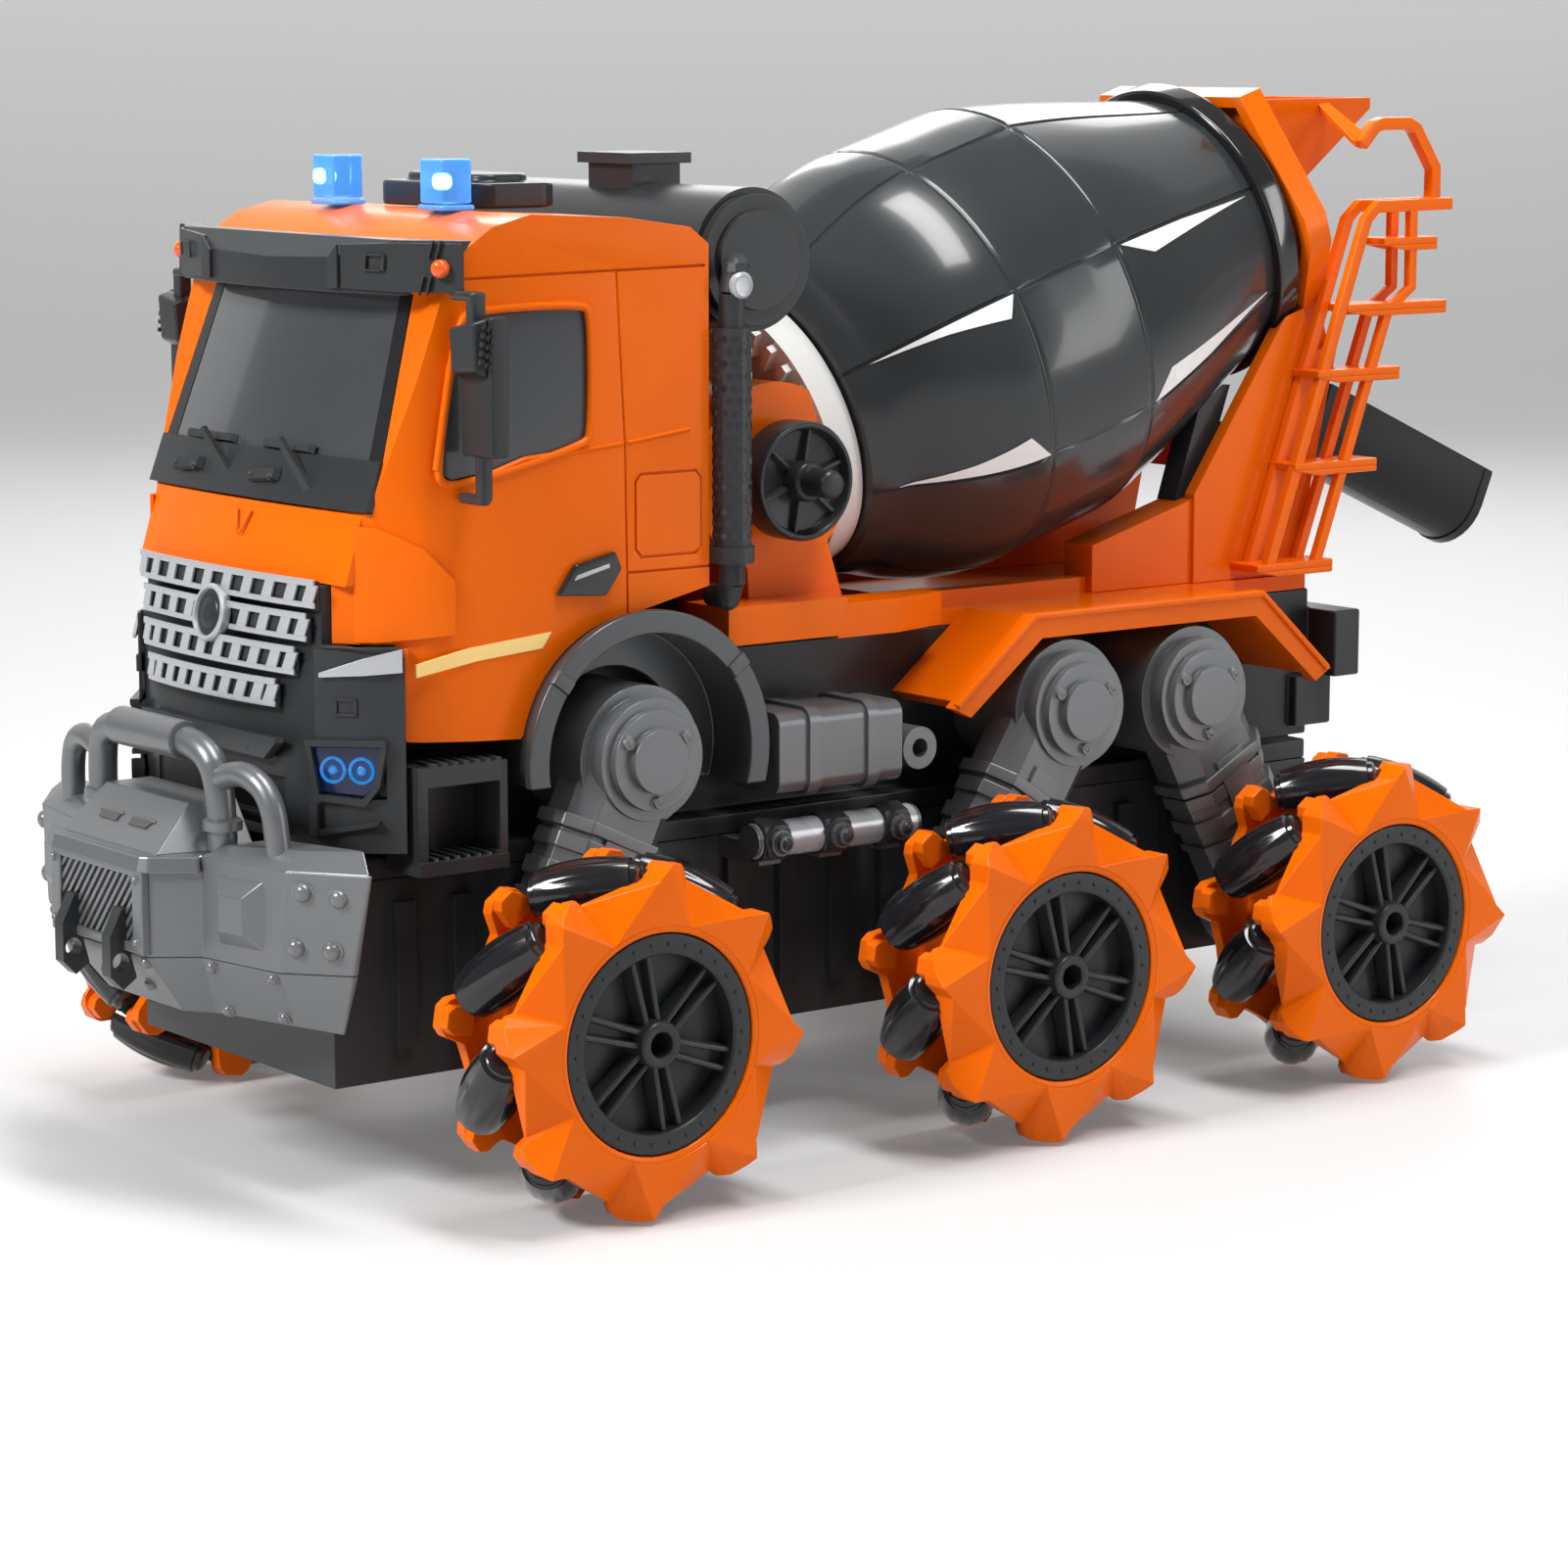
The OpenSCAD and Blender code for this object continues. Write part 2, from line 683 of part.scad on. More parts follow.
module gear_cover() {
  inner_r = pinion_r + tooth_up + 1;
  color(body_colour) from_axle() difference() {
    rod_x(15.2, 26.8, inner_r + 2, shaft_y, shaft_z);
    rod_x(15, 27, inner_r, shaft_y, shaft_z);
    along_x(10, 40) polygon([[shaft_y - 30, shaft_z - 30], [shaft_y + 40, shaft_z - 30],
                             [shaft_y + 40, shaft_z + 22], [shaft_y + 6, shaft_z + 22],
                             [shaft_y, shaft_z - 6], [shaft_y - 30, shaft_z - 6]]);
  }
}

// ---------------------------------------------------------------- drum

band_s = drum_band;
drum_profile = [[24, nose_s], [29, nose_s + 1], [31.5, nose_s + 4], [33.4, nose_s + 8],
                [drum_r, 0], [drum_r, band_s], [cone_r + 1.4, seat_s], [cone_r - 0.6, seat_s],
                [cone_r - 0.6, seat_s + 5.4], [mouth_r, seat_s + 8], [mouth_r, mouth_s]];

// How fast the rear cone narrows towards the mouth
cone_slope = (drum_r - cone_r - 1.4) / (seat_s - band_s);

module drum_shell() {
  inner = [for (p = drum_profile) [p.x - drum_wall, p.y]];
  color("#3b3e41") from_axle() on_drum() rotate_extrude(convexity = 6)
    polygon(concat(
      drum_profile,
      [[mouth_r - drum_wall, mouth_s]],
      [for (i = [len(inner) - 2 : -1 : 7]) inner[i]],
      [[cone_r - 2.6, seat_s - 1.6]],
      [for (i = [5 : -1 : 4]) inner[i]],
      [[inner[3].x, nose_s + 8], [22, nose_s + drum_wall], [0, nose_s + drum_wall], [0, nose_s]]
    ));
}

module ring_gear() {
  pitch_s = shaft_s + pinion_r;
  root_s = pitch_s + tooth_down;
  tooth_w = 2 * PI * ring_r / ring_teeth * 0.36;
  color("#e9e9e6") from_axle() on_drum() union() {
    difference() {
      translate([0, 0, root_s]) cylinder(h = nose_s - root_s, r = ring_r + 3.5);
      translate([0, 0, root_s - 1]) cylinder(h = nose_s - root_s - 1, r = ring_r - 3.5);
    }
    for (k = [0 : ring_teeth - 1]) rotate([0, 0, (k + 0.5) * 360 / ring_teeth])
      translate([ring_r - 3, -tooth_w / 2, pitch_s - tooth_up])
        cube([5.5, tooth_w, tooth_up + tooth_down + 0.2]);
    translate([0, 0, shaft_s + 4]) cylinder(h = nose_s - shaft_s - 4.5, r = bearing_r);
    translate([0, 0, shaft_s + 11.6]) cylinder(h = 2, r = 5.5);
  }
}

module rolling_ring() {
  color("#101112") from_axle() on_drum() difference() {
    translate([0, 0, seat_s]) cylinder(h = 5.4, r = 31);
    translate([0, 0, seat_s - 1]) cylinder(h = 8, r = cone_r - 0.6);
  }
}

module pinion_shaft() {
  tooth_w = 2 * PI * pinion_r / pinion_teeth * 0.36;
  color("#d8d8d4") from_axle() translate([0, shaft_y, shaft_z]) union() {
    rod_x(10, 38, shaft_r, 0, 0);
    rod_x(22.5, 26.3, pinion_r - tooth_down, 0, 0);
    for (k = [0 : pinion_teeth - 1]) rotate([drum_tilt + k * 360 / pinion_teeth, 0, 0])
      block(23.3, 26.2, pinion_r - tooth_down - 0.3, pinion_r + tooth_up,
            -tooth_w / 2, tooth_w / 2);
  }
}

module hand_wheel() {
  color("#2c2f32") from_axle() translate([0, shaft_y, shaft_z]) difference() {
    union() {
      rod_x(33, 40, hand_wheel_r, 0, 0);
      rod_x(30.6, 33, 5, 0, 0);
      rod_x(33, 48, 2.6, 0, 0);
    }
    difference() {
      rod_x(36.5, 41, hand_wheel_r - 1.2, 0, 0);
      rod_x(33, 44, 3.6, 0, 0);
    }
    rod_x(30, 38, shaft_r, 0, 0);
  }
}

module drum_saddles() {
  color(dark_colour) from_axle() difference() {
    both_sides() along_x(17.5, 23) polygon([[168.5, 109.4], [175.5, 111.4], [183, 132], [176, 132]]);
    on_drum() cylinder(h = seat_s, r1 = drum_r + 0.5 + cone_slope * band_s,
                       r2 = cone_r + 1.9);
  }
}

// ---------------------------------------------------------------- deck and rear

module deck() {
  color(body_colour) from_axle() difference() {
    union() {
      block(-28, 28, 44.5, 200, rail_z1, 93);
      both_sides() block(27, 40, 44.5, 72, 92, 99);
      both_sides() along_z(91, 97.4) polygon([[27, 72], [37, 72], [37, 86], [33, 100], [27, 100]]);
      // Mudguards over the rear wheel pairs
      both_sides() block(27, 29, 110, 168, rail_z1, 93);
      both_sides() along_x(28, 48) polygon([[92, 78.5], [94.6, 76.6], [111, 90], [167.5, 90],
                                            [183.6, 75.8], [186, 77.8], [168.5, 93], [110, 93]]);
      both_sides() along_x(46, 48.6) polygon([[90.4, 77.4], [94.6, 75.4], [112, 89], [167, 89],
                                              [183.6, 74.6], [187.6, 77], [169, 93.8], [109.4, 93.8]]);
      // Side rails of the deck
      both_sides() block(20, 24, 82, 144, 93, 96);
    }
    for (y = [82, 98]) block(-10, 10, y, y + 12, 80, 100);
    // Seats for the pedestal's outer plates
    both_sides() block(26.9, 30.1, 56.4, 80.1, 93, 100);
  }
}

module rear_frame() {
  color(body_colour) from_axle() difference() {
    union() {
      both_sides() along_x(17.5, 26) polygon([[144, 93], [144, 102.4], [167.8, 109.2],
                                              [176, 111.5], [176, 93]]);
      both_sides() along_x(24, 27) polygon([[170, 93], [170, 111], [198, 151], [212, 151],
                                            [206, 128], [198, 93]]);
      block(-24.5, 24.5, 192, 197, 93, 99);
      block(-24.5, 24.5, 199.5, 203, 112, 118);
    }
    // Room for the collar and for the turning ring
    on_drum() block(-40, 40, -60, 26.1, 80.9, 110);
    on_drum() translate([0, 0, seat_s - 0.6]) cylinder(h = 8, r = 31.6);
  }
}

// The collar round the drum's mouth, drawn across the drum's axis
collar_outline = [[21, 27.6], [32.5, 2], [32.5, -4], [25, -20], [25, -26],
                  [-25, -26], [-25, -20], [-32.5, -4], [-32.5, 2], [-21, 27.6]];

module charge_hopper() {
  collar_s = 81;
  color(body_colour) from_axle() difference() {
    union() {
      on_drum() difference() {
        translate([0, 0, collar_s]) linear_extrude(6) scale([1, -1]) polygon(collar_outline);
        translate([0, 0, collar_s - 1]) cylinder(h = 5, r = 24.4);
        translate([0, 0, collar_s - 1]) linear_extrude(4) scale([0.92, -0.92]) polygon(collar_outline);
      }
      hull() {
        along_z(186.4, 188.6) polygon([[-20, 192.5], [20, 192.5], [14, 229.5], [-14, 229.5]]);
        on_drum() translate([-12, -18, 86.8]) cube([24, 20, 0.2]);
      }
    }
    hull() {
      along_z(186, 189) polygon([[-17.6, 194.4], [17.6, 194.4], [12.2, 227.4], [-12.2, 227.4]]);
      on_drum() translate([-10, -16.4, 86.8]) cube([20, 17, 0.1]);
    }
    on_drum() translate([-10, -16.4, collar_s]) cube([20, 17, 7]);
    on_drum() translate([0, 0, collar_s - 1]) cylinder(h = 10, r = 21);
  }
}

module ladder() {
  color(body_colour) from_axle() union() {
    for (x = [28.5, 33.5]) {
      tube_run([[x, 184, 97], [x, 210.5, 166.5], [x, 213, 167.6], [x, 233, 167.2]], 1.2);
      tube_run([[x, 197, 97], [x, 216, 147], [x, 222.5, 149], [x, 222.5, 167]], 1.1);
    }
    block(27, 35, 180, 201, 95, 97.2);
    block(27, 34.7, 190, 213, 115, 116.8);
    block(27, 34.7, 196, 219, 133.4, 135.2);
    block(27.3, 34.7, 204, 232, 146.4, 148.2);
    block(27.6, 34.7, 214, 229, 159.4, 161.2);
    // Guard hoop beside the hopper
    tube_run([[29, 205, 167.5], [26, 217, 182.8], [26, 229, 183.4], [27, 236, 172],
              [28.5, 235.5, 167.4], [33.5, 233, 167.2]], 1.5);
  }
}

module chute_bracket() {
  color(dark_colour) from_axle() union() {
    block(-6, 6, 203, 207, 108, 122);
    block(-4, 4, 207, 215.5, 108, 110.5);
    rod_z(108, 119, chute_pin_r, 0, chute_pin_y);
  }
}

module chute() {
  outer = 9;
  side_h = 8;
  color("#2a2d2f") from_axle() difference() {
    union() {
      translate([0, chute_y, chute_z]) rotate([-chute_slope, 0, 0]) rotate([-90, 0, 0])
        linear_extrude(chute_len) difference() {
          union() {
            circle(outer);
            translate([-outer, -side_h]) square([2 * outer, side_h]);
          }
          circle(outer - 1.6);
          translate([-outer + 1.6, -side_h - 1]) square([2 * outer - 3.2, side_h + 1]);
        }
      rod_z(110.8, 116.4, 4.6, 0, chute_pin_y);
      block(-3, 3, chute_pin_y + 2.5, 227, 110.8, 114);
    }
    rod_z(109, 118, chute_pin_r + run_gap, 0, chute_pin_y);
    translate([0, chute_y, chute_z]) rotate([-chute_slope, 0, 0]) rod_y(-1, 30, outer - 1.6, 0, 0);
  }
}

module side_tanks() {
  color(grey_colour) from_axle() both_sides() {
    along_y(50, 78.5) translate([40.5, 72.6]) rounded(15, 15, 2.5);
    for (y = [56.5, 70]) along_y(y, y + 2.6) translate([40.5, 72.6]) rounded(16.4, 16.4, 3);
    block(rail_x1, 34, 52, 77, 68, 79.5);
    // Air tube under the tank with its three brackets
    rod_y(46, 84, 3.1, 44, 56.5);
    for (y = [50, 64, 78]) {
      block(tub_x, 45, y - 2.5, y + 2.5, 52, 56);
      rod_x(44, 49, 2.4, y, 56.5);
      rod_x(48, 50.4, 1.5, y, 56.5);
    }
    // Small fitting behind the tank
    difference() {
      rod_x(38, 44, 4, 86, 70);
      rod_x(37, 45, 1.8, 86, 70);
    }
    block(rail_x1, 40, 84, 88, 66.6, 69);
  }
}

chassis_tub();
chassis_frame();
battery_pack();
battery_door();
circuit_board();
power_switch();
drive_motors();
front_gearboxes();
rear_gearboxes();
bumper();
bull_bar();
tow_hooks();
cab_shell();
cab_fascia();
grille();
windscreen();
side_windows();
sun_visor();
mirrors();
beacons();
roof_unit();
headlights();
door_handles();
cab_steps();
wheel_arches();
water_tank();
exhaust_stack();
drum_pedestal();
gear_cover();
drum_shell();
ring_gear();
rolling_ring();
hand_wheel();
pinion_shaft();
deck();
rear_frame();
charge_hopper();
ladder();
drum_saddles();
chute();
chute_bracket();
side_tanks();
wheel(0, 1);  // wheel_front_left
wheel(0, -1);  // wheel_front_right
wheel(middle_axle, 1);  // wheel_middle_left
wheel(middle_axle, -1);  // wheel_middle_right
wheel(rear_axle, 1);  // wheel_rear_left
wheel(rear_axle, -1);  // wheel_rear_right
rim(0, 1);  // rim_front_left
rim(0, -1);  // rim_front_right
rim(middle_axle, 1);  // rim_middle_left
rim(middle_axle, -1);  // rim_middle_right
rim(rear_axle, 1);  // rim_rear_left
rim(rear_axle, -1);  // rim_rear_right
rollers(0, 1);  // rollers_front_left
rollers(0, -1);  // rollers_front_right
rollers(middle_axle, 1);  // rollers_middle_left
rollers(middle_axle, -1);  // rollers_middle_right
rollers(rear_axle, 1);  // rollers_rear_left
rollers(rear_axle, -1);  // rollers_rear_right
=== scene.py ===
"""Looks of the toy cement mixer truck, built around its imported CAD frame.

Lengths are in millimetres, measured from the front axle: X to the truck's left side, Y to its rear,
Z up from the ground. place() turns them into the frame's metres.
"""
from math import atan2, cos, pi, radians, sin
import json

import bmesh
import bpy
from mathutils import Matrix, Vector

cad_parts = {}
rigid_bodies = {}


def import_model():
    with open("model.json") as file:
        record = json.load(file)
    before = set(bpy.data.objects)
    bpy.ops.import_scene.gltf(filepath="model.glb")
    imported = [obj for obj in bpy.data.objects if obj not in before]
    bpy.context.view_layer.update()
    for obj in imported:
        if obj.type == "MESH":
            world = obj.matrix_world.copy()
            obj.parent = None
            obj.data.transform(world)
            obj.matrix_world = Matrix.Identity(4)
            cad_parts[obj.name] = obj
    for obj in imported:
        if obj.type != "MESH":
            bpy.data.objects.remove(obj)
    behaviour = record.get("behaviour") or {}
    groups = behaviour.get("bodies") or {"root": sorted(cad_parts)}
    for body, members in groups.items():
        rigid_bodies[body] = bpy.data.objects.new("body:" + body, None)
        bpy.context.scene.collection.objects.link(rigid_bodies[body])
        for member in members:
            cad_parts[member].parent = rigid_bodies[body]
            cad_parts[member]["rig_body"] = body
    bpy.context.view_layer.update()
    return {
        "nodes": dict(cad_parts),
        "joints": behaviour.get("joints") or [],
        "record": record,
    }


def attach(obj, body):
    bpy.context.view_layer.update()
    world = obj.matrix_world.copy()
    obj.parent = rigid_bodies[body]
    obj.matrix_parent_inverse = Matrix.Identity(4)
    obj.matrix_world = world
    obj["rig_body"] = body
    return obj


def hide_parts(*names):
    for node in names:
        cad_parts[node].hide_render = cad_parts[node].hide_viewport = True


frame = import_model()

MM = 0.001
JOINTS = {joint["name"]: joint for joint in frame["joints"]}
AXLE_Y = JOINTS["spin_front_left"]["pos_m"][1]
HUB_Z = JOINTS["spin_front_left"]["pos_m"][2] / MM
SLOT_OF = {part["node"]: part["material_slot"] for part in frame["record"]["subparts"]}
AXLES = {
    name: (JOINTS["spin_" + name + "_left"]["pos_m"][1] - AXLE_Y) / MM
    for name in ("front", "middle", "rear")
}


def place(x, y, z):
    return Vector((x * MM, y * MM + AXLE_Y, z * MM))


# ---------------------------------------------------------------- materials

def add_node(tree, kind, inputs):
    """A shader node with some of its inputs set."""
    node = tree.nodes.new("ShaderNode" + kind)
    for name, value in inputs.items():
        node.inputs[name].default_value = value
    return node


def wire(tree, *ends):
    """Links made from (node, output, node, input)."""
    for source, output, target, entry in ends:
        tree.links.new(source.outputs[output], target.inputs[entry])


def moulded_plastic(name, colour, roughness, grain=0.02, spread=0.05, edge=0.12, coat=0.0,
                    metallic=0.0, specular=0.32):
    """Injection-moulded plastic: slight cloudiness in the colour, a fine grain in the gloss and a
    painted highlight that lightens the sharp edges, as strong as edge."""
    mat = bpy.data.materials.new(name)
    mat.use_nodes = True
    tree = mat.node_tree
    shader = tree.nodes["Principled BSDF"]
    shader.inputs["Metallic"].default_value = metallic
    shader.inputs["Coat Weight"].default_value = coat
    shader.inputs["Coat Roughness"].default_value = 0.06
    shader.inputs["Specular IOR Level"].default_value = specular
    coords = add_node(tree, "TexCoord", {})
    cloud = add_node(tree, "TexNoise", {"Scale": 28.0, "Detail": 3.0})
    tint = add_node(tree, "ValToRGB", {})
    stops = zip(tint.color_ramp.elements, (0.3, 0.7), (1 - spread, 1 + spread))
    for stop, position, share in stops:
        stop.position = position
        stop.color = [min(1, c * share) for c in colour] + [1]
    geometry = add_node(tree, "NewGeometry", {})
    # Painted highlight: pointiness lightens the colour on sharp edges, up to the share edge.
    painted_edge_highlight = add_node(tree, "MapRange", {"From Min": 0.52, "From Max": 0.62, "To Max": edge})
    lighten = add_node(tree, "Mix", {})
    lighten.data_type = "RGBA"
    lighten.inputs["B"].default_value = [min(1, c * 1.5 + 0.12) for c in colour] + [1]
    fine = add_node(tree, "TexNoise", {"Scale": 2600.0, "Detail": 2.0})
    gloss = add_node(tree, "MapRange", {"To Min": roughness * 0.85, "To Max": roughness * 1.15})
    bump = add_node(tree, "Bump", {"Strength": grain, "Distance": 0.0002})
    wire(tree, (coords, "Object", cloud, "Vector"), (cloud, "Fac", tint, "Fac"),
         (geometry, "Pointiness", painted_edge_highlight, "Value"), (painted_edge_highlight, "Result", lighten, "Factor"),
         (tint, "Color", lighten, "A"), (lighten, "Result", shader, "Base Color"),
         (coords, "Object", fine, "Vector"), (cloud, "Fac", gloss, "Value"),
         (gloss, "Result", shader, "Roughness"), (fine, "Fac", bump, "Height"),
         (bump, "Normal", shader, "Normal"))
    return mat


def lamp_lens(name, colour, glow_colour, glow, coat):
    """Clear tinted plastic that is lit from inside, brighter in the middle of its cells."""
    # edge=0.3 paints a highlight on the lens edges.
    mat = moulded_plastic(name, colour, 0.08, edge=0.3, coat=coat)
    tree = mat.node_tree
    shader = tree.nodes["Principled BSDF"]
    shader.inputs["Transmission Weight"].default_value = 0.55
    shader.inputs["IOR"].default_value = 1.45
    shader.inputs["Emission Color"].default_value = glow_colour + [1]
    coords = tree.nodes["Texture Coordinate"]
    cells = add_node(tree, "TexVoronoi", {"Scale": 900.0})
    level = add_node(tree, "MapRange", {"From Max": 0.7, "To Min": glow, "To Max": glow * 0.8})
    wire(tree, (coords, "Object", cells, "Vector"), (cells, "Distance", level, "Value"),
         (level, "Result", shader, "Emission Strength"))
    return mat


# Colour, roughness and what else differs from moulded_plastic. The first ones are the slots, and the
# others are looks of single pieces. edge sets how strongly the sharp edges are lightened as a
# painted highlight.
PLASTICS = {
    "body_plastic": ([0.80, 0.128, 0.0], 0.24, {"grain": 0.01, "edge": 0.05, "specular": 0.12}),
    "grey_plastic": ([0.17, 0.176, 0.182], 0.36, {"grain": 0.04, "spread": 0.02, "metallic": 0.6}),
    "dark_plastic": ([0.020, 0.022, 0.024], 0.34, {"grain": 0.05, "spread": 0.03}),
    "drum_plastic": ([0.028, 0.031, 0.033], 0.22, {"coat": 0.25}),
    "ring_black": ([0.010, 0.010, 0.011], 0.14, {"coat": 0.6}),
    "gear_white": ([0.72, 0.72, 0.70], 0.34, {}),
    "roller_black": ([0.010, 0.010, 0.012], 0.16, {"coat": 0.4}),
    "silver_plastic": ([0.44, 0.45, 0.47], 0.28, {"metallic": 0.35}),
    "smoked_glazing": ([0.045, 0.048, 0.052], 0.16, {"grain": 0.0, "coat": 0.8}),
    "handle_black": ([0.012, 0.013, 0.014], 0.16, {"coat": 0.6}),
    "battery_wrap": ([0.05, 0.18, 0.42], 0.3, {}),
    "board_green": ([0.02, 0.16, 0.05], 0.35, {}),
    "motor_steel": ([0.55, 0.56, 0.57], 0.3, {"metallic": 1.0}),
    "switch_red": ([0.55, 0.02, 0.015], 0.4, {}),
    "decal_white": ([0.86, 0.86, 0.85], 0.26, {"grain": 0.005, "edge": 0.0}),
    "decal_black": ([0.012, 0.012, 0.013], 0.30, {"grain": 0.005, "edge": 0.0}),
    # Cream that paints the highlight along the door crease.
    "painted_highlight_cream": ([0.95, 0.62, 0.20], 0.20, {"grain": 0.005, "coat": 0.5}),
    "chute_black": ([0.010, 0.011, 0.012], 0.30, {"specular": 0.2}),
    "arch_grey": ([0.09, 0.094, 0.098], 0.30, {"grain": 0.03, "metallic": 0.6}),
    "bolt_steel": ([0.17, 0.175, 0.18], 0.24, {"metallic": 0.3}),
    "amber_lens": ([0.85, 0.09, 0.005], 0.12, {"coat": 0.8}),
}
# Colour, colour and strength of the glow, and the clear coat of each lens
LENSES = {
    "beacon_lens": ([0.10, 0.42, 0.85], [0.12, 0.42, 1.0], 0.22, 0.6),
    "headlight_lens": ([0.003, 0.010, 0.05], [0.0, 0.05, 0.5], 0.04, 0.1),
    "lamp_cyan": ([0.01, 0.10, 0.25], [0.01, 0.35, 1.0], 0.6, 0.6),
    "led_white": ([0.8, 0.8, 0.95], [0.85, 0.9, 1.0], 3.5, 0.6),
}
MATERIALS = {name: moulded_plastic(name, colour, roughness, **more)
             for name, (colour, roughness, more) in PLASTICS.items()}
MATERIALS.update({name: lamp_lens(name, *look) for name, look in LENSES.items()})
for node, cad_object in frame["nodes"].items():
    cad_object.data.materials.clear()
    cad_object.data.materials.append(MATERIALS[SLOT_OF[node]])


# ---------------------------------------------------------------- making pieces

def put(name, data):
    """A new object in the scene."""
    thing = bpy.data.objects.new(name, data)
    bpy.context.scene.collection.objects.link(thing)
    return thing


def settle(name, bm, slot, body="root", look=None, bevel=0.0, angle=32, replaces=(), segments=2,
           sharp=38):
    """Turns a bmesh into a finished piece: edges rounded, flats kept flat, riding on its body.
    It has the slot's own material unless another look is given."""
    bmesh.ops.recalc_face_normals(bm, faces=bm.faces)
    mesh = bpy.data.meshes.new(name)
    bm.to_mesh(mesh)
    bm.free()
    piece = put(name, mesh)
    if bevel:
        rounding = piece.modifiers.new("edges", "BEVEL")
        rounding.width = bevel * MM
        rounding.segments = segments
        rounding.limit_method = "ANGLE"
        rounding.angle_limit = radians(angle)
        rounding.use_clamp_overlap = True
        apply_modifiers(piece)
    piece.data.materials.clear()
    piece.data.materials.append(MATERIALS[look or slot])
    shade(piece, sharp)
    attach(piece, body)
    if replaces:
        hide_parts(*replaces)
    return piece


def shade(piece, sharp):
    """Smooth shading that leaves the large faces flat."""
    piece.data.shade_smooth()
    piece.data.set_sharp_from_angle(angle=radians(sharp))
    flat = piece.modifiers.new("flat", "WEIGHTED_NORMAL")
    flat.keep_sharp = True
    flat.weight = 90
    apply_modifiers(piece)


def apply_modifiers(piece):
    graph = bpy.context.evaluated_depsgraph_get()
    final = bpy.data.meshes.new_from_object(piece.evaluated_get(graph))
    piece.modifiers.clear()
    piece.data = final


def cad_mesh(node):
    """The node's own surface, with its flat faces joined again."""
    bm = bmesh.new()
    bm.from_mesh(frame["nodes"][node].data)
    bmesh.ops.remove_doubles(bm, verts=bm.verts, dist=1e-6)
    bmesh.ops.dissolve_limit(bm, angle_limit=radians(1), verts=bm.verts, edges=bm.edges)
    return bm


def refine(node, bevel, angle=32, grooves=None, look=None):
    """A finished copy of a CAD node, with moulded edges and, where given, parting grooves."""
    body = frame["nodes"][node]["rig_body"]
    piece = settle(node + "_moulding", cad_mesh(node), SLOT_OF[node], body, look, bevel, angle,
                   replaces=(node,))
    if grooves:
        cut(piece, grooves)


def cut(piece, cutter):
    """Cuts a bmesh out of a piece."""
    mesh = bpy.data.meshes.new("cutter")
    bmesh.ops.recalc_face_normals(cutter, faces=cutter.faces)
    cutter.to_mesh(mesh)
    cutter.free()
    tool = put("cutter", mesh)
    cutting = piece.modifiers.new("cut", "BOOLEAN")
    cutting.operation = "DIFFERENCE"
    cutting.solver = "EXACT"
    cutting.object = tool
    cutting.use_self = True
    apply_modifiers(piece)
    shade(piece, 38)
    bpy.data.objects.remove(tool)


def join(bm, a, b):
    """Faces between two closed rings of corners."""
    for i in range(len(a)):
        j = (i + 1) % len(a)
        bm.faces.new((a[i], a[j], b[j], b[i]))


def add_rings(bm, outlines):
    """A closed skin over outlines that follow each other, with both ends capped."""
    rings = [[bm.verts.new(point) for point in outline] for outline in outlines]
    bm.faces.new(rings[0][::-1])
    bm.faces.new(rings[-1])
    for a, b in zip(rings, rings[1:]):
        join(bm, a, b)


def add_box(bm, x0, x1, y0, y1, z0, z1, side=1):
    corners = [(x0, y0), (x1, y0), (x1, y1), (x0, y1)]
    add_rings(bm, [[place(side * x, y, z) for x, y in corners] for z in (z0, z1)])


def add_side_prism(bm, outline, x0, x1):
    """A prism of a side outline in (y, z), from x0 to x1."""
    add_rings(bm, [[place(x, y, z) for y, z in outline] for x in (x0, x1)])


def frame_of(axis):
    """Two directions across an axis."""
    axis = axis.normalized()
    side = axis.orthogonal().normalized()
    return side, axis.cross(side)


def add_turned(bm, profile, centre, axis, sides=40, flute=None):
    """Turns a profile of (radius, distance along the axis) about an axis through centre.
    flute scales the radius by the angle."""
    axis = axis.normalized()
    u, v = frame_of(axis)
    rings = []
    for radius, along in profile:
        ring = []
        for i in range(sides):
            t = 2 * pi * i / sides
            r = radius * (flute(t, along) if flute else 1)
            ring.append(centre + (axis * along + (u * cos(t) + v * sin(t)) * r) * MM)
        rings.append(ring)
    add_rings(bm, rings)


def smooth_path(points, steps=6):
    """A rounded path through the middles of the runs between points."""
    path = [points[0]]
    for a, b, c in zip(points, points[1:], points[2:]):
        start, end = (a + b) / 2, (b + c) / 2
        for i in range(steps + 1):
            t = i / steps
            path.append(start * (1 - t) ** 2 + b * 2 * t * (1 - t) + end * t * t)
    path.append(points[-1])
    return path


def add_tube(bm, points, radius, sides):
    """A round tube along a smoothed path."""
    path = smooth_path([place(*p) for p in points])
    normal = frame_of(path[1] - path[0])[0]
    rings = []
    for i, p in enumerate(path):
        ahead = path[min(i + 1, len(path) - 1)] - path[max(i - 1, 0)]
        ahead.normalize()
        normal = (normal - ahead * normal.dot(ahead)).normalized()
        other = ahead.cross(normal)
        rings.append([p + (normal * cos(t) + other * sin(t)) * radius * MM
                      for t in [2 * pi * k / sides for k in range(sides)]])
    add_rings(bm, rings)


def add_bolt(bm, x, y, z, out, radius=1.5, height=1.1, sides=18):
    """A domed bolt head on a low washer, standing out along a direction."""
    out = Vector(out).normalized()
    profile = [(radius * 1.25, -0.6), (radius * 1.25, 0.15), (radius * 1.02, 0.25)]
    for i in range(5):
        t = i / 4 * pi / 2 * 0.94
        profile.append((radius * cos(t), 0.25 + height * sin(t)))
    add_turned(bm, profile, place(x, y, z), out, sides)


def add_loft(bm, near, far, side=1):
    """A closed solid between two outlines of (x, y, z), mirrored to the right when side is -1."""
    add_rings(bm, [[place(side * x, y, z) for x, y, z in outline] for outline in (near, far)])


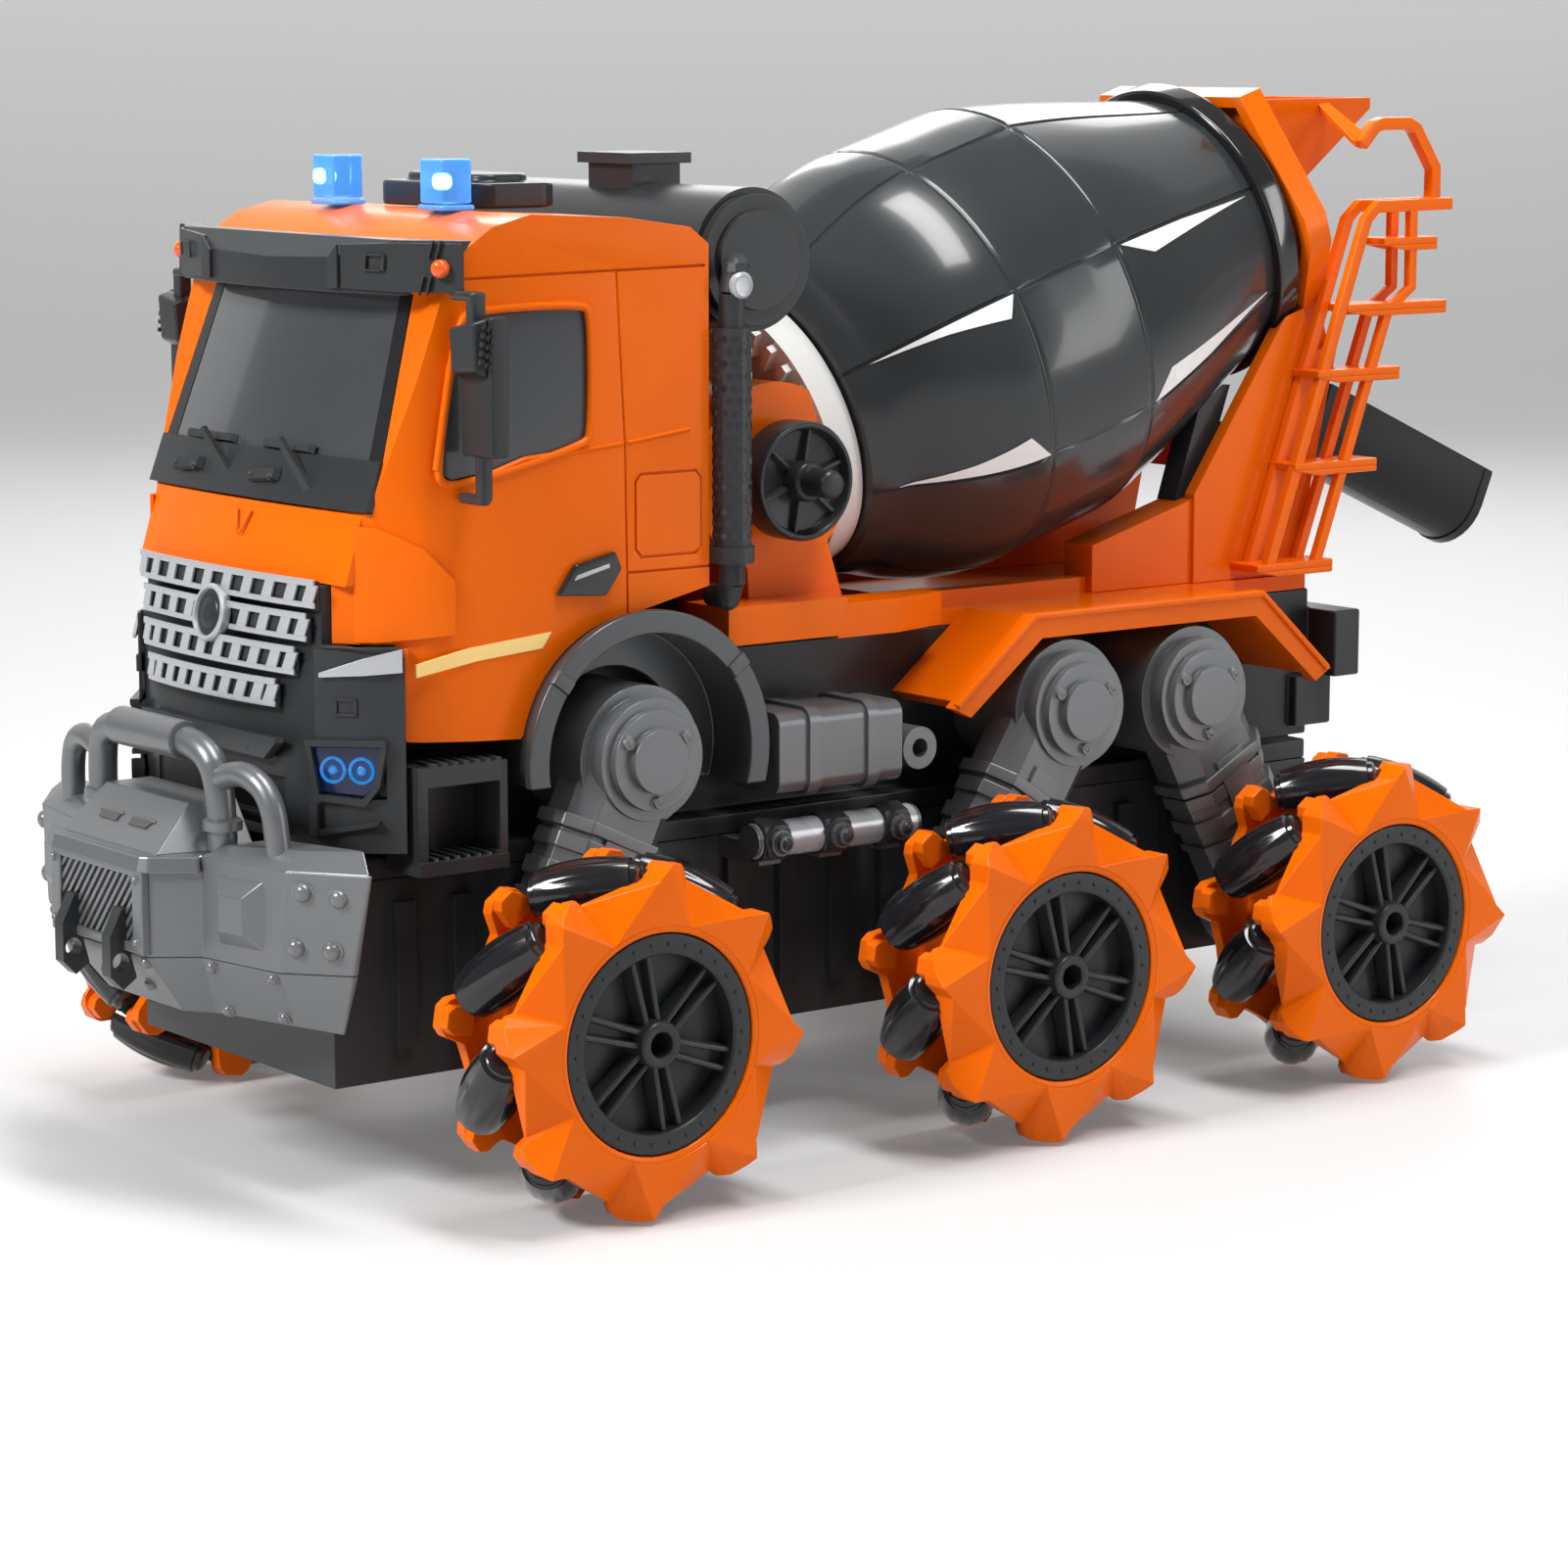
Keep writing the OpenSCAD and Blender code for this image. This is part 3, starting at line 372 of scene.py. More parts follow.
def rectangle(width, height, across=0.0, up=0.0):
    return [(across - width / 2, up - height / 2), (across + width / 2, up - height / 2),
            (across + width / 2, up + height / 2), (across - width / 2, up + height / 2)]


def add_plate(bm, origin, u, outline, d0, d1, v=(0, 0, 1), taper=0.0, side=1):
    """A plate on a slanted face. outline runs along u and v from origin, and the plate reaches
    from d0 to d1 along their normal. taper draws its far face in towards its middle."""
    origin, u, v = Vector(origin), Vector(u).normalized(), Vector(v).normalized()
    out = u.cross(v)
    middle = [sum(p[c] for p in outline) / len(outline) for c in (0, 1)]
    rows = []
    for depth, shrink in ((d0, 0), (d1, taper)):
        points = [origin + u * (a + (middle[0] - a) * shrink) + v * (b + (middle[1] - b) * shrink)
                  + out * depth for a, b in outline]
        rows.append([(p.x, p.y, p.z) for p in points])
    add_loft(bm, rows[0], rows[1], side)


def add_band(bm, path, low, high, thick, side=1):
    """A strip that follows a plan path of (x, y) between two heights, which may be one number or
    one for each point."""
    rings = []
    for i, (x, y) in enumerate(path):
        before, after = path[max(i - 1, 0)], path[min(i + 1, len(path) - 1)]
        run = Vector((after[0] - before[0], after[1] - before[1])).normalized()
        x1, y1 = x + run.y * thick, y - run.x * thick
        z0, z1 = (edge[i] if isinstance(edge, list) else edge for edge in (low, high))
        rings.append([place(side * px, py, pz) for px, py, pz in
                      ((x, y, z0), (x1, y1, z0), (x1, y1, z1), (x, y, z1))])
    add_rings(bm, rings)


def add_skin(bm, surface, half_width, heights, back, low=-1.0, high=1.0, columns=14):
    """A curved sheet: surface(share, z) gives its front y, where share runs from -1 to 1 across
    the half width at that height. Its back lies back millimetres behind."""
    shares = [low + (high - low) * i / columns for i in range(columns + 1)]
    rings = []
    for z in heights:
        half = half_width(z)
        front = [place(t * half, surface(t, z), z) for t in shares]
        rear = [place(t * half, surface(t, z) + back, z) for t in reversed(shares)]
        rings.append(front + rear)
    add_rings(bm, rings)


def dark(name, bm, bevel=0.2, **more):
    return settle(name, bm, "dark_plastic", bevel=bevel, **more)


def grey(name, bm, bevel=0.25, **more):
    return settle(name, bm, "grey_plastic", bevel=bevel, **more)


def orange(name, bm, bevel=0.25, **more):
    return settle(name, bm, "body_plastic", bevel=bevel, **more)


# ---------------------------------------------------------------- wheels

TRACK = 81.0
WHEEL_W = 25.5
LOBES = 8
LOBE_PHASE = 9.0
RIM_R = 19.4


def wheel_point(hub_y, side, x, r, phi):
    """A point of a wheel: x from the truck's middle, r from the hub, phi from the front upwards."""
    a = radians(phi)
    return place(side * x, hub_y - r * cos(a), HUB_Z + r * sin(a))


def outer_plate(bm, hub_y, side):
    """The faceted outer plate: between two lobes it has a flat, a sunk triangle and a bright one."""
    back = TRACK - 5.6
    ring_r = RIM_R + 1.2
    sector = 360 / LOBES
    front_ring, front_edge, back_ring, back_edge = [], [], [], []

    def corner(x, r, phi):
        return bm.verts.new(wheel_point(hub_y, side, x, r, phi))

    made = []
    for k in range(LOBES):
        base = LOBE_PHASE + k * sector
        ring = [(ring_r, base + a) for a in (8, 16, 24, 31, 38, 45.5)]
        edge = [
            (28.4, base + 8, TRACK - 5.0), (28.2, base + 35, TRACK - 0.5),
            (30.6, base + 39.4, TRACK - 0.3), (31, base + 42, TRACK - 1.5),
            (31, base + 48, TRACK - 3.4), (30.0, base + 51.5, TRACK - 4.6),
        ]
        made.append({
            "ring": [corner(TRACK - 0.3, r, a) for r, a in ring],
            "mid": corner(TRACK - 0.3, 23.4, base + 22),
            "edge": [corner(x, r, a) for r, a, x in edge],
            "back_ring": [corner(back, r, a) for r, a in ring],
            "back_edge": [corner(back, r, a) for r, a, x in edge],
        })
    for k in range(LOBES):
        one, two = made[k], made[(k + 1) % LOBES]
        ring, edge, mid, after = one["ring"], one["edge"], one["mid"], two["ring"][0]
        for corners in ((ring[0], edge[0], mid), (ring[0], mid, ring[2], ring[1]),
                        (mid, edge[0], edge[1]), (ring[2], mid, edge[1], ring[4], ring[3]),
                        (ring[4], edge[1], edge[2], after, ring[5]), (after, edge[2], edge[3]),
                        (after, edge[3], edge[4]), (after, edge[4], edge[5]),
                        (after, edge[5], two["edge"][0])):
            bm.faces.new(corners)
        front_ring += ring
        back_ring += one["back_ring"]
        front_edge += edge
        back_edge += one["back_edge"]
    for a, b in ((front_ring, back_ring), (front_edge, back_edge), (back_ring, back_edge)):
        join(bm, a, b)


def lobed_disc(bm, hub_y, side, x0, x1, tip):
    """The inner plate: a plain disc with a rounded lobe at each roller."""
    outline = []
    for k in range(LOBES):
        base = LOBE_PHASE + k * 360 / LOBES
        outline += [(24.5, base - 22.5), (25.5, base - 10), (tip - 1.2, base - 6.5),
                    (tip, base - 3.5), (tip, base + 3.5), (tip - 1.2, base + 6.5),
                    (25.5, base + 10)]
    add_rings(bm, [[wheel_point(hub_y, side, x, r, a) for r, a in outline] for x in (x0, x1)])


def lobe_tabs(bm, hub_y, side, x0, x1):
    """Ears that reach in between the rollers and carry their pins."""
    for k in range(LOBES):
        base = LOBE_PHASE + k * 360 / LOBES
        outline = [(25.4, base - 5.5), (29.4, base - 4.8), (30.8, base - 2.6), (30.8, base + 2.6),
                   (29.4, base + 4.8), (25.4, base + 5.5)]
        add_rings(bm, [[wheel_point(hub_y, side, x, r, a) for r, a in outline] for x in (x0, x1)])


def wheel_shell(name, hub_y, side):
    bm = bmesh.new()
    outer_plate(bm, hub_y, side)
    inner = TRACK - WHEEL_W
    lobed_disc(bm, hub_y, side, inner, inner + 2.5, 30.4)
    lobe_tabs(bm, hub_y, side, TRACK - 8.2, TRACK - 5.2)
    lobe_tabs(bm, hub_y, side, inner + 2.2, inner + 5.0)
    core = [(12, 0), (18, 0.01), (18, 19.5), (RIM_R + 1.5, 19.6), (RIM_R + 1.5, 24.9),
            (RIM_R + 0.9, 25.15), (RIM_R + 0.1, 24.9), (RIM_R + 0.1, 19.7), (2.6, 19.7)]
    add_turned(bm, core, place(side * inner, hub_y, HUB_Z), Vector((side, 0, 0)), 64)
    body = "wheel_" + name
    settle("wheel_shell_" + name, bm, "body_plastic", body,
           bevel=0.14, angle=7, replaces=("wheel_" + name,), segments=1, sharp=6)


def rim_insert(name, hub_y, side):
    """The dark insert: a riveted ring, six double spokes and an open hub."""
    bm = bmesh.new()
    face = TRACK - 0.4
    axis = Vector((side, 0, 0))
    ring = [(15.6, -5.2), (15.6, -0.7), (16.0, -0.35), (18.9, -0.35), (19.25, -0.6),
            (19.3, -5.2), (15.6, -5.3)]
    disc = [(3.0, -5.4), (19.3, -5.4), (19.3, -4.9), (15, -4.7), (6, -5.1), (3.0, -5.0)]
    hub = [(1.9, -5.2), (4.9, -5.0), (4.3, -1.6), (4.1, -0.2), (3.7, 0.15), (2.6, 0.15),
           (2.25, -0.1), (2.2, -4.8)]
    for profile, sides in ((ring, 72), (disc, 48), (hub, 40)):
        add_turned(bm, profile, place(side * face, hub_y, HUB_Z), axis, sides)
    for k in range(30):
        rivet = wheel_point(hub_y, side, face - 0.45, 17.45, 12 * k)
        add_turned(bm, [(0.42, 0), (0.40, 0.32), (0.22, 0.46)], rivet, axis, 8)
    rib = [(-0.5, -0.25), (-0.2, 0), (0.2, 0), (0.5, -0.25)]
    web = [(-1.5, -4.9), (-1.5, -3.7), (1.5, -3.7), (1.5, -4.9)]
    centre = place(0, hub_y, HUB_Z)
    for k in range(6):
        a = radians(k * 60 + 18)
        along = Vector((0, -cos(a), sin(a)))
        across = Vector((0, sin(a), cos(a)))

        def section(r, outline, along=along, across=across):
            return [centre + (along * r + across * w) * MM + axis * (face + depth) * MM
                    for w, depth in outline]

        for gap in (-1, 1):
            ends = []
            for r, middle, top in ((3.6, gap * 1.15, -1.3), (16.2, gap * 1.75, -1.5)):
                low = [(middle + w, -4.6) for w in (-0.85, 0.85)]
                crest = [(middle + w, top + fall) for w, fall in rib]
                ends.append(section(r, [low[0]] + crest + [low[1]]))
            add_rings(bm, ends)
        add_rings(bm, [section(4.4, web), section(16.0, web)])
    add_turned(bm, [(2.5, 0), (2.5, face - 5.2 - 36)], place(side * 36, hub_y, HUB_Z), axis, 24)
    settle("rim_insert_" + name, bm, "dark_plastic", "wheel_" + name,
           bevel=0.10, angle=40, replaces=("rim_" + name,))


def barrel_rollers(name, hub_y, side):
    """Eight slanted barrels with stepped end caps and shallow lengthwise flutes."""
    bm = bmesh.new()
    middle = TRACK - 13.8
    half, belly, end = 9.4, 5.45, 4.1

    def flute(t, along):
        return 1 - 0.05 * max(0, cos(9 * t)) ** 3 * max(0, 1 - (along / 7.6) ** 2)

    for k in range(LOBES):
        phi = LOBE_PHASE + (k + 0.5) * 360 / LOBES
        a = radians(phi)
        tangent = Vector((0, sin(a), cos(a)))
        axis = (Vector((side, 0, 0)) + tangent).normalized()
        profile = [(2.2, -half - 0.5), (end - 1.0, -half - 0.4), (end - 0.5, -half),
                   (end - 0.35, -half + 0.8), (end - 0.1, -half + 0.9)]
        steps = 12
        for i in range(steps + 1):
            d = -half + 1.0 + (2 * half - 2.0) * i / steps
            profile.append((end + (belly - end) * (1 - (d / half) ** 2), d))
        profile += [(end - 0.1, half - 0.9), (end - 0.35, half - 0.8), (end - 0.5, half),
                    (end - 1.0, half + 0.4), (2.2, half + 0.5)]
        centre = wheel_point(hub_y, side, middle, 32 - 5.5, phi)
        add_turned(bm, profile, centre, axis, 72, flute)
    settle("barrel_rollers_" + name, bm, "roller_black", "wheel_" + name,
           replaces=("rollers_" + name,))


def make_wheels():
    for axle, hub_y in AXLES.items():
        for label, side in (("left", 1), ("right", -1)):
            name = axle + "_" + label
            wheel_shell(name, hub_y, side)
            rim_insert(name, hub_y, side)
            barrel_rollers(name, hub_y, side)


# ---------------------------------------------------------------- drum

DRUM_AXIS = Vector(JOINTS["drum_spin"]["axis"]).normalized()
DRUM_ORIGIN = Vector(JOINTS["drum_spin"]["pos_m"])
DRUM_ACROSS = Vector((1, 0, 0))
DRUM_UP = DRUM_ACROSS.cross(DRUM_AXIS)
DRUM_R, BAND, NOSE, SEAT, MOUTH = 43.0, 26.0, -36.0, 74.0, 84.4
CONE_R, MOUTH_R = 27.6, 22.5


def drum_point(r, s, t):
    """A point of the drum: radius, distance along its axis and angle from the left side upwards."""
    across = DRUM_ACROSS * cos(t) + DRUM_UP * sin(t)
    return DRUM_ORIGIN + DRUM_AXIS * (s * MM) + across * (r * MM)


def drum_radius(s):
    """Outer radius: two cones and a band that blend into each other."""
    if s <= -28:
        return 33.4 - (-28 - s) ** 1.4 * 0.18
    if s <= 0:
        return 33.4 + (DRUM_R - 33.4) * sin((s + 28) / 28 * pi / 2) ** 0.92
    if s <= BAND:
        return DRUM_R
    t = (s - BAND) / (SEAT - BAND)
    return DRUM_R + (CONE_R + 1.4 - DRUM_R) * t - 1.0 * sin(pi * t) * (t - 1)


def drum_shell():
    """The drum with its panel joints as real grooves: eight along it and two round it."""
    bm = bmesh.new()
    angles = []
    for k in range(8):
        start = k * 45 + 22.5
        angles += [(start - 0.9, 0), (start - 0.35, 1), (start + 0.35, 1), (start + 0.9, 0)]
        angles += [(start + 45 * i / 9, 0) for i in range(1, 9)]
    stops = [-35.2, -33, -30, -28, 8, 17] + [-28 + 28 * i / 7 for i in range(1, 7)]
    stops += [BAND + (SEAT - BAND) * i / 10 for i in range(1, 11)]
    rows = [(s, 0) for s in stops]
    for s in (0.0, BAND):
        rows += [(s - 0.9, 0), (s - 0.35, 1), (s + 0.35, 1), (s + 0.9, 0)]
    rows.sort()
    groove_depth = 0.4
    grid = [[drum_point(drum_radius(s) - groove_depth * (across or along), s, radians(a))
             for a, along in angles] for s, across in rows]
    inner_profile = [(CONE_R - 0.7, SEAT + 0.05), (CONE_R - 0.7, SEAT + 5.4),
                     (MOUTH_R, SEAT + 8), (MOUTH_R, MOUTH - 0.3), (MOUTH_R - 0.4, MOUTH),
                     (MOUTH_R - 1.6, MOUTH), (MOUTH_R - 2, MOUTH - 0.3), (MOUTH_R - 2, SEAT + 8),
                     (CONE_R - 3, SEAT + 5), (CONE_R - 1.4, SEAT - 2), (DRUM_R - 2.2, BAND),
                     (DRUM_R - 2.2, 0), (31.4, -27.5), (23, NOSE + 2.4)]
    nose, *inside = [[drum_point(r, s, radians(a)) for a, along in angles]
                     for r, s in [(24, NOSE)] + inner_profile]
    add_rings(bm, [nose] + grid + inside)
    settle("drum_body", bm, "drum_plastic", "drum", replaces=("drum_shell",))


def drum_decal(name, outline, skin=0.14):
    """A thin printed patch that follows the drum, from an outline of (angle, s) in degrees and
    millimetres. The outline has two sides that are walked together from tip to tip."""
    bm = bmesh.new()
    steps = 18
    rows = []
    for i in range(steps + 1):
        low, high = (walk(line, i / steps) for line in outline)
        row = []
        for j in range(5):
            a, s = [low[c] + (high[c] - low[c]) * j / 4 for c in (0, 1)]
            row.append(bm.verts.new(drum_point(drum_radius(s) + skin, s, radians(a))))
        rows.append(row)
    for a, b in zip(rows, rows[1:]):
        for j in range(4):
            bm.faces.new((a[j], a[j + 1], b[j + 1], b[j]))
    bmesh.ops.remove_doubles(bm, verts=bm.verts, dist=2e-5)
    bmesh.ops.recalc_face_normals(bm, faces=bm.faces)
    bmesh.ops.solidify(bm, geom=bm.faces[:], thickness=0.1 * MM)
    settle(name, bm, "drum_plastic", "drum", "decal_white")


def walk(points, t):
    """The point a share t of the way along a list of points."""
    run = t * (len(points) - 1)
    i = min(int(run), len(points) - 2)
    part = run - i
    return [points[i][c] + (points[i + 1][c] - points[i][c]) * part for c in (0, 1)]


# Each wedge as its two long sides, from one tip to the other, in degrees and mm along the axis
WEDGES = [
    ([(22.0, -30.5), (22.0, -15), (22.0, -1.0)], [(22.0, -30.5), (19.6, -16), (16.6, -3.6)]),
    ([(-21.8, -30.5), (-18.6, -17), (-14.9, -5.6)], [(-21.8, -30.5), (-22, -15), (-22, -1.0)]),
    ([(22.0, 27.4), (22.0, 48), (20.6, 71)], [(22.0, 27.4), (16.6, 36), (20.6, 71)]),
    ([(-22.0, 27.4), (-15.2, 33), (-18.6, 71)], [(-22.0, 27.4), (-21.6, 48), (-18.6, 71)]),
]


def make_drum():
    drum_shell()
    refine("rolling_ring", 0.7)
    refine("ring_gear", 0.12, angle=40)
    for label, flip in (("left", False), ("right", True)):
        for number, wedge in enumerate(WEDGES):
            if flip:
                wedge = [[(180 - a, d) for a, d in line] for line in wedge]
            drum_decal("wedge_%s_%d" % (label, number), wedge)


# ---------------------------------------------------------------- cab

def groove(bm, points, x0, x1, width=0.5):
    """A narrow slot along a polyline of (y, z) on the truck's side."""
    for (y0, z0), (y1, z1) in zip(points, points[1:]):
        run = Vector((y1 - y0, z1 - z0)).normalized() * width / 2
        side = Vector((-run.y, run.x))
        start, end = Vector((y0, z0)) - run, Vector((y1, z1)) + run
        add_side_prism(bm, [start - side, end - side, end + side, start + side], x0, x1)


DOOR_SEAMS = [
    [(17.9, 161), (19.6, 130), (20, 99.5)],
    [(-18.8, 157), (-23.6, 128.8), (-24.8, 99)],
    [(20, 107.6), (38.4, 107.6)],
    [(-14, 160.4), (37, 161.2)],
]
DOOR_CREASES = [[(-14.9, 125.0), (-2, 128.9), (19.2, 130.6)], [(20.2, 130.7), (33.7, 132.4)]]
SIDE_PANEL = [(21.8, 111.6), (21.8, 123.6), (23, 124.9), (35, 124.9), (36.2, 123.6),
              (36.2, 111.4), (35, 110.2), (23, 110.2), (21.8, 111.6)]


def cab_details():
    seams = bmesh.new()
    for side in (1, -1):
        for line in DOOR_SEAMS + [SIDE_PANEL]:
            groove(seams, line, side * 42.45, side * 44)
    refine("cab_shell", 0.5, angle=20, grooves=seams)

    for label, side in (("left", 1), ("right", -1)):
        bm = bmesh.new()
        for line in DOOR_CREASES:
            ridge(bm, line, side)
        settle("door_crease_" + label, bm, "body_plastic", bevel=0.12)
        bm = bmesh.new()
        # The cream stripe below the door is a painted highlight along the crease.
        stripe = [(-24.6, 92.6), (-24.6, 94.9), (-13.7, 96.9), (3.6, 98.4), (1.6, 95.6),
                  (-12, 94.5)]
        add_side_prism(bm, stripe, side * 42.6, side * 43.22)
        settle("door_stripe_" + label, bm, "body_plastic", look="painted_highlight_cream", bevel=0.1)
        window_frame(label, side)


def ridge(bm, line, side):
    """A low raised crease along the door."""
    sunk, crest = side * 42.8, side * 43.45
    base = [[place(sunk, y, z - 0.9), place(crest, y, z), place(sunk, y, z + 0.5)] for y, z in line]
    for a, b in zip(base, base[1:]):
        add_rings(bm, (a, b))


WINDOW = [(-19.9, 128), (-16.7, 146), (-14.6, 153), (-12.9, 155), (10.6, 155.4), (12.4, 153.6),
          (12.4, 132.6), (10.8, 130.8), (-4, 127.2), (-15.6, 125.2), (-18.8, 125.6)]


def window_frame(label, side):
    """The raised bead round a side window."""
    bm = bmesh.new()
    add_tube(bm, [(side * 43.0, y, z) for y, z in WINDOW + WINDOW[:2]], 0.75, 10)
    settle("window_bead_" + label, bm, "body_plastic")


# ---------------------------------------------------------------- front

def screen_y(z):
    """The windscreen's front face at the middle of its sides."""
    return -29.8 + (z - 120.8) / 6.6 * 2.5 if z < 127.4 else -27.3 + (z - 127.4) / 29.9 * 9.6


def screen_half(z):
    return 36.8 if z < 128 else 36.8 - (z - 128) / 29.3 * 4


def bowed(share, z, bow=1.7, lift=0.0):
    return screen_y(z) - bow * (1 - share * share) - lift


def windscreen():
    heights = [120.8 + 36.5 * i / 10 for i in range(11)]
    bm = bmesh.new()
    add_skin(bm, bowed, screen_half, heights, 1.6)
    settle("windscreen_glass", bm, "smoked_glazing", bevel=0.15, replaces=("windscreen",))
    bm = bmesh.new()
    for low, high in ((-1, -0.9), (0.9, 1)):
        add_skin(bm, lambda t, z: bowed(t, z, lift=0.12), screen_half, heights[2:], 0.3, low, high,
                 2)
    settle("windscreen_pillars", bm, "smoked_glazing", look="decal_black")

    bm = bmesh.new()
    add_skin(bm, lambda t, z: bowed(t, z, lift=0.9), lambda z: screen_half(z) + 0.4,
             [120.9, 122, 128.6, 129.4], 1.5)
    for x in (-18, 9):
        z = 130.2
        add_plate(bm, (x, bowed(x / 36, z, lift=0.4), z), (1, 0, 0), rectangle(17, 1.5), 0, 0.9,
                  v=(0, 0.33, 0.94), taper=0.1)
        y = bowed(x / 36, 124.6, lift=1.0)
        add_plate(bm, (x - 4, y, 125), (1, 0.05, 0.1), rectangle(9, 2.2), 0, 1.1, v=(0, 0.35, 0.94),
                  taper=0.15)
        for end in (-7.4, -1.2):
            add_bolt(bm, x + end, y - 0.9, 125, (0, -1, 0.3), 0.6, 0.5, 12)
        add_plate(bm, (x + 7, bowed(x / 36, 126.5, lift=1.4), 126.6), (0.62, 0.15, -0.78),
                  [(-7, -0.6), (7.4, -0.9), (7.4, 0.9), (-7, 0.6)], 0, 1.0, v=(0.78, 0.1, 0.62))
    dark("windscreen_cowl", bm, 0.22)


def front_panel():
    """The bowed panel under the windscreen, with its small V, and the corner deflectors."""
    bm = bmesh.new()
    add_skin(bm, lambda t, z: -33.8 + (z - 108) * 0.3 - 1.5 * (1 - t * t), lambda z: 35.2,
             [108.2, 109, 114, 119.6, 120.4], 1.7)
    for side in (1, -1):
        add_plate(bm, (0, -33.0, 117), (1, 0, 0), [(0.1, -3), (0.9, -2.4), (2.8, 1.6), (2.0, 1.9)],
                  0, 0.45, v=(0, 0.3, 0.95), side=side)
        deflector = [(34.4, -31.4), (37.6, -28.6), (41.3, -21.6), (42.6, -16.2)]
        add_band(bm, deflector, [98.4, 98.4, 99, 99.4], [118.6, 118.2, 114.6, 108.8], 0.75, side)
        add_band(bm, [(34.4, -31.4), (37.6, -28.6), (40.0, -24.2)], 86.4, 97.4, 0.7, side)
    orange("front_panel", bm, 0.3)
    slots = bmesh.new()
    for i in (2, 3, 4):
        add_band(slots, [(36.0, -31.0), (38.7, -27.9), (40.9, -23.8)], 88.5 + 5.6 * i,
                 90.6 + 5.6 * i, 0.5, -1)
    dark("deflector_slots", slots, 0.1)


def visor():
    refine("sun_visor", 0.5)
    bm = bmesh.new()
    lamps = bmesh.new()
    pods = [(23, -25.6), (36.2, -22.9), (46.1, -15.8)]
    for side in (1, -1):
        add_band(bm, pods, [158.4, 158.2, 158.2], [165.9, 166.6, 166.6], 0.7, side)
        add_band(bm, [(20, -26.4), (23, -26.3)], [158.4, 158.4], [163.5, 165.9], 0.6, side)
        u = (13.2, 2.7, 0)
        for a0, a1, b0, b1 in ((0, 4.4, 2.2, 2.6), (-0.8, 3.6, -0.4, 0.0), (-0.8, 0, -0.4, 2.6),
                               (3.8, 4.4, -0.2, 2.2)):
            add_plate(bm, (30, -25.2, 162), u, [(a0, b0), (a1, b0), (a1 + 0.3, b1), (a0 + 0.3, b1)],
                      0, 0.35, side=side)
        for up, across in ((3.1, 0.6), (3.1, 2.0), (-3.0, -1.2), (-3.0, 0.2)):
            add_plate(bm, (41, -20.1, 162.4), (9.9, 7.1, 0),
                      [(across - 0.2, up - 1.6), (across + 0.2, up - 1.6),
                       (across + 1.1, up + 1.6), (across + 0.7, up + 1.6)], 0.1, 0.9, side=side)
        centre = place(side * 43.4, -18.7, 162.3)
        add_turned(lamps, [(1.6, 0), (1.6, 0.9), (1.3, 1.5),
                           (0.6, 1.9)], centre, Vector((side * 0.58, -0.81, 0)), 24)
    dark("visor_trim", bm, 0.12)
    settle("visor_lamps", lamps, "dark_plastic", look="amber_lens")


def beacons():
    lens, lamp = bmesh.new(), bmesh.new()
    for side in (1, -1):
        add_box(lens, 14.4, 21.6, -4.2, 2.2, 172.2, 180, side)
        add_box(lens, 14.0, 22.0, -4.6, 2.6, 171, 172, side)
        add_box(lamp, 18.0, 21.8, -4.4, -1.6, 174.6, 177.6, side)
    settle("beacon_lenses", lens, "beacon_lens", bevel=1.3, segments=4, replaces=("beacons",))
    settle("beacon_lamps", lamp, "beacon_lens", look="led_white", bevel=1.3, segments=4)


def mirrors():
    """Tall mirrors with a vented hump at the back and stepped arms."""
    bm = bmesh.new()
    dots = bmesh.new()
    for side in (1, -1):
        add_loft(bm, [(45.4, -16.4, 130.5), (54.2, -16.0, 130.5), (54.2, -12.2, 130.5),
                      (45.6, -12.4, 130.5)],
                 [(45.4, -16.4, 153), (54.4, -16.0, 154.6), (54.4, -12.2, 154.6),
                  (45.6, -12.4, 153)], side)
        add_loft(bm, [(46.2, -19.0, 145), (53.2, -18.6, 145.4), (53.4, -15.9, 144),
                      (46, -16.3, 143.5)],
                 [(46.4, -19.4, 152.4), (53.4, -19.0, 153.6), (53.6, -15.9, 154.4),
                  (46, -16.3, 153)], side)
        for i in range(5):
            for j in range(3):
                y, z = 0.9 * j + 0.15 * i, 1.5 * i - 0.5 * j
                add_box(dots, 54.05 - 0.1 * j, 54.62, y - 18.4, y - 17.8, z + 146.6, z + 147.4, side)
        add_box(bm, 43.6, 50.6, -17.4, -14.6, 157.0, 158.6, side)
        add_box(bm, 48.2, 50.8, -17.2, -14.4, 153, 158.6, side)
        add_box(bm, 48.4, 50.6, -15.8, -13.2, 122.8, 131, side)
        add_box(bm, 43.2, 50.6, -15.8, -13.6, 122.2, 124, side)
    dark("mirror_housings", bm, 0.6, segments=3, replaces=("mirrors",))
    settle("mirror_vents", dots, "dark_plastic", look="ring_black")


GRILLE_HALF = [22, 26, 28, 30]
GRILLE_BACK = [-38.9, -37.4, -36.1, -35.6]


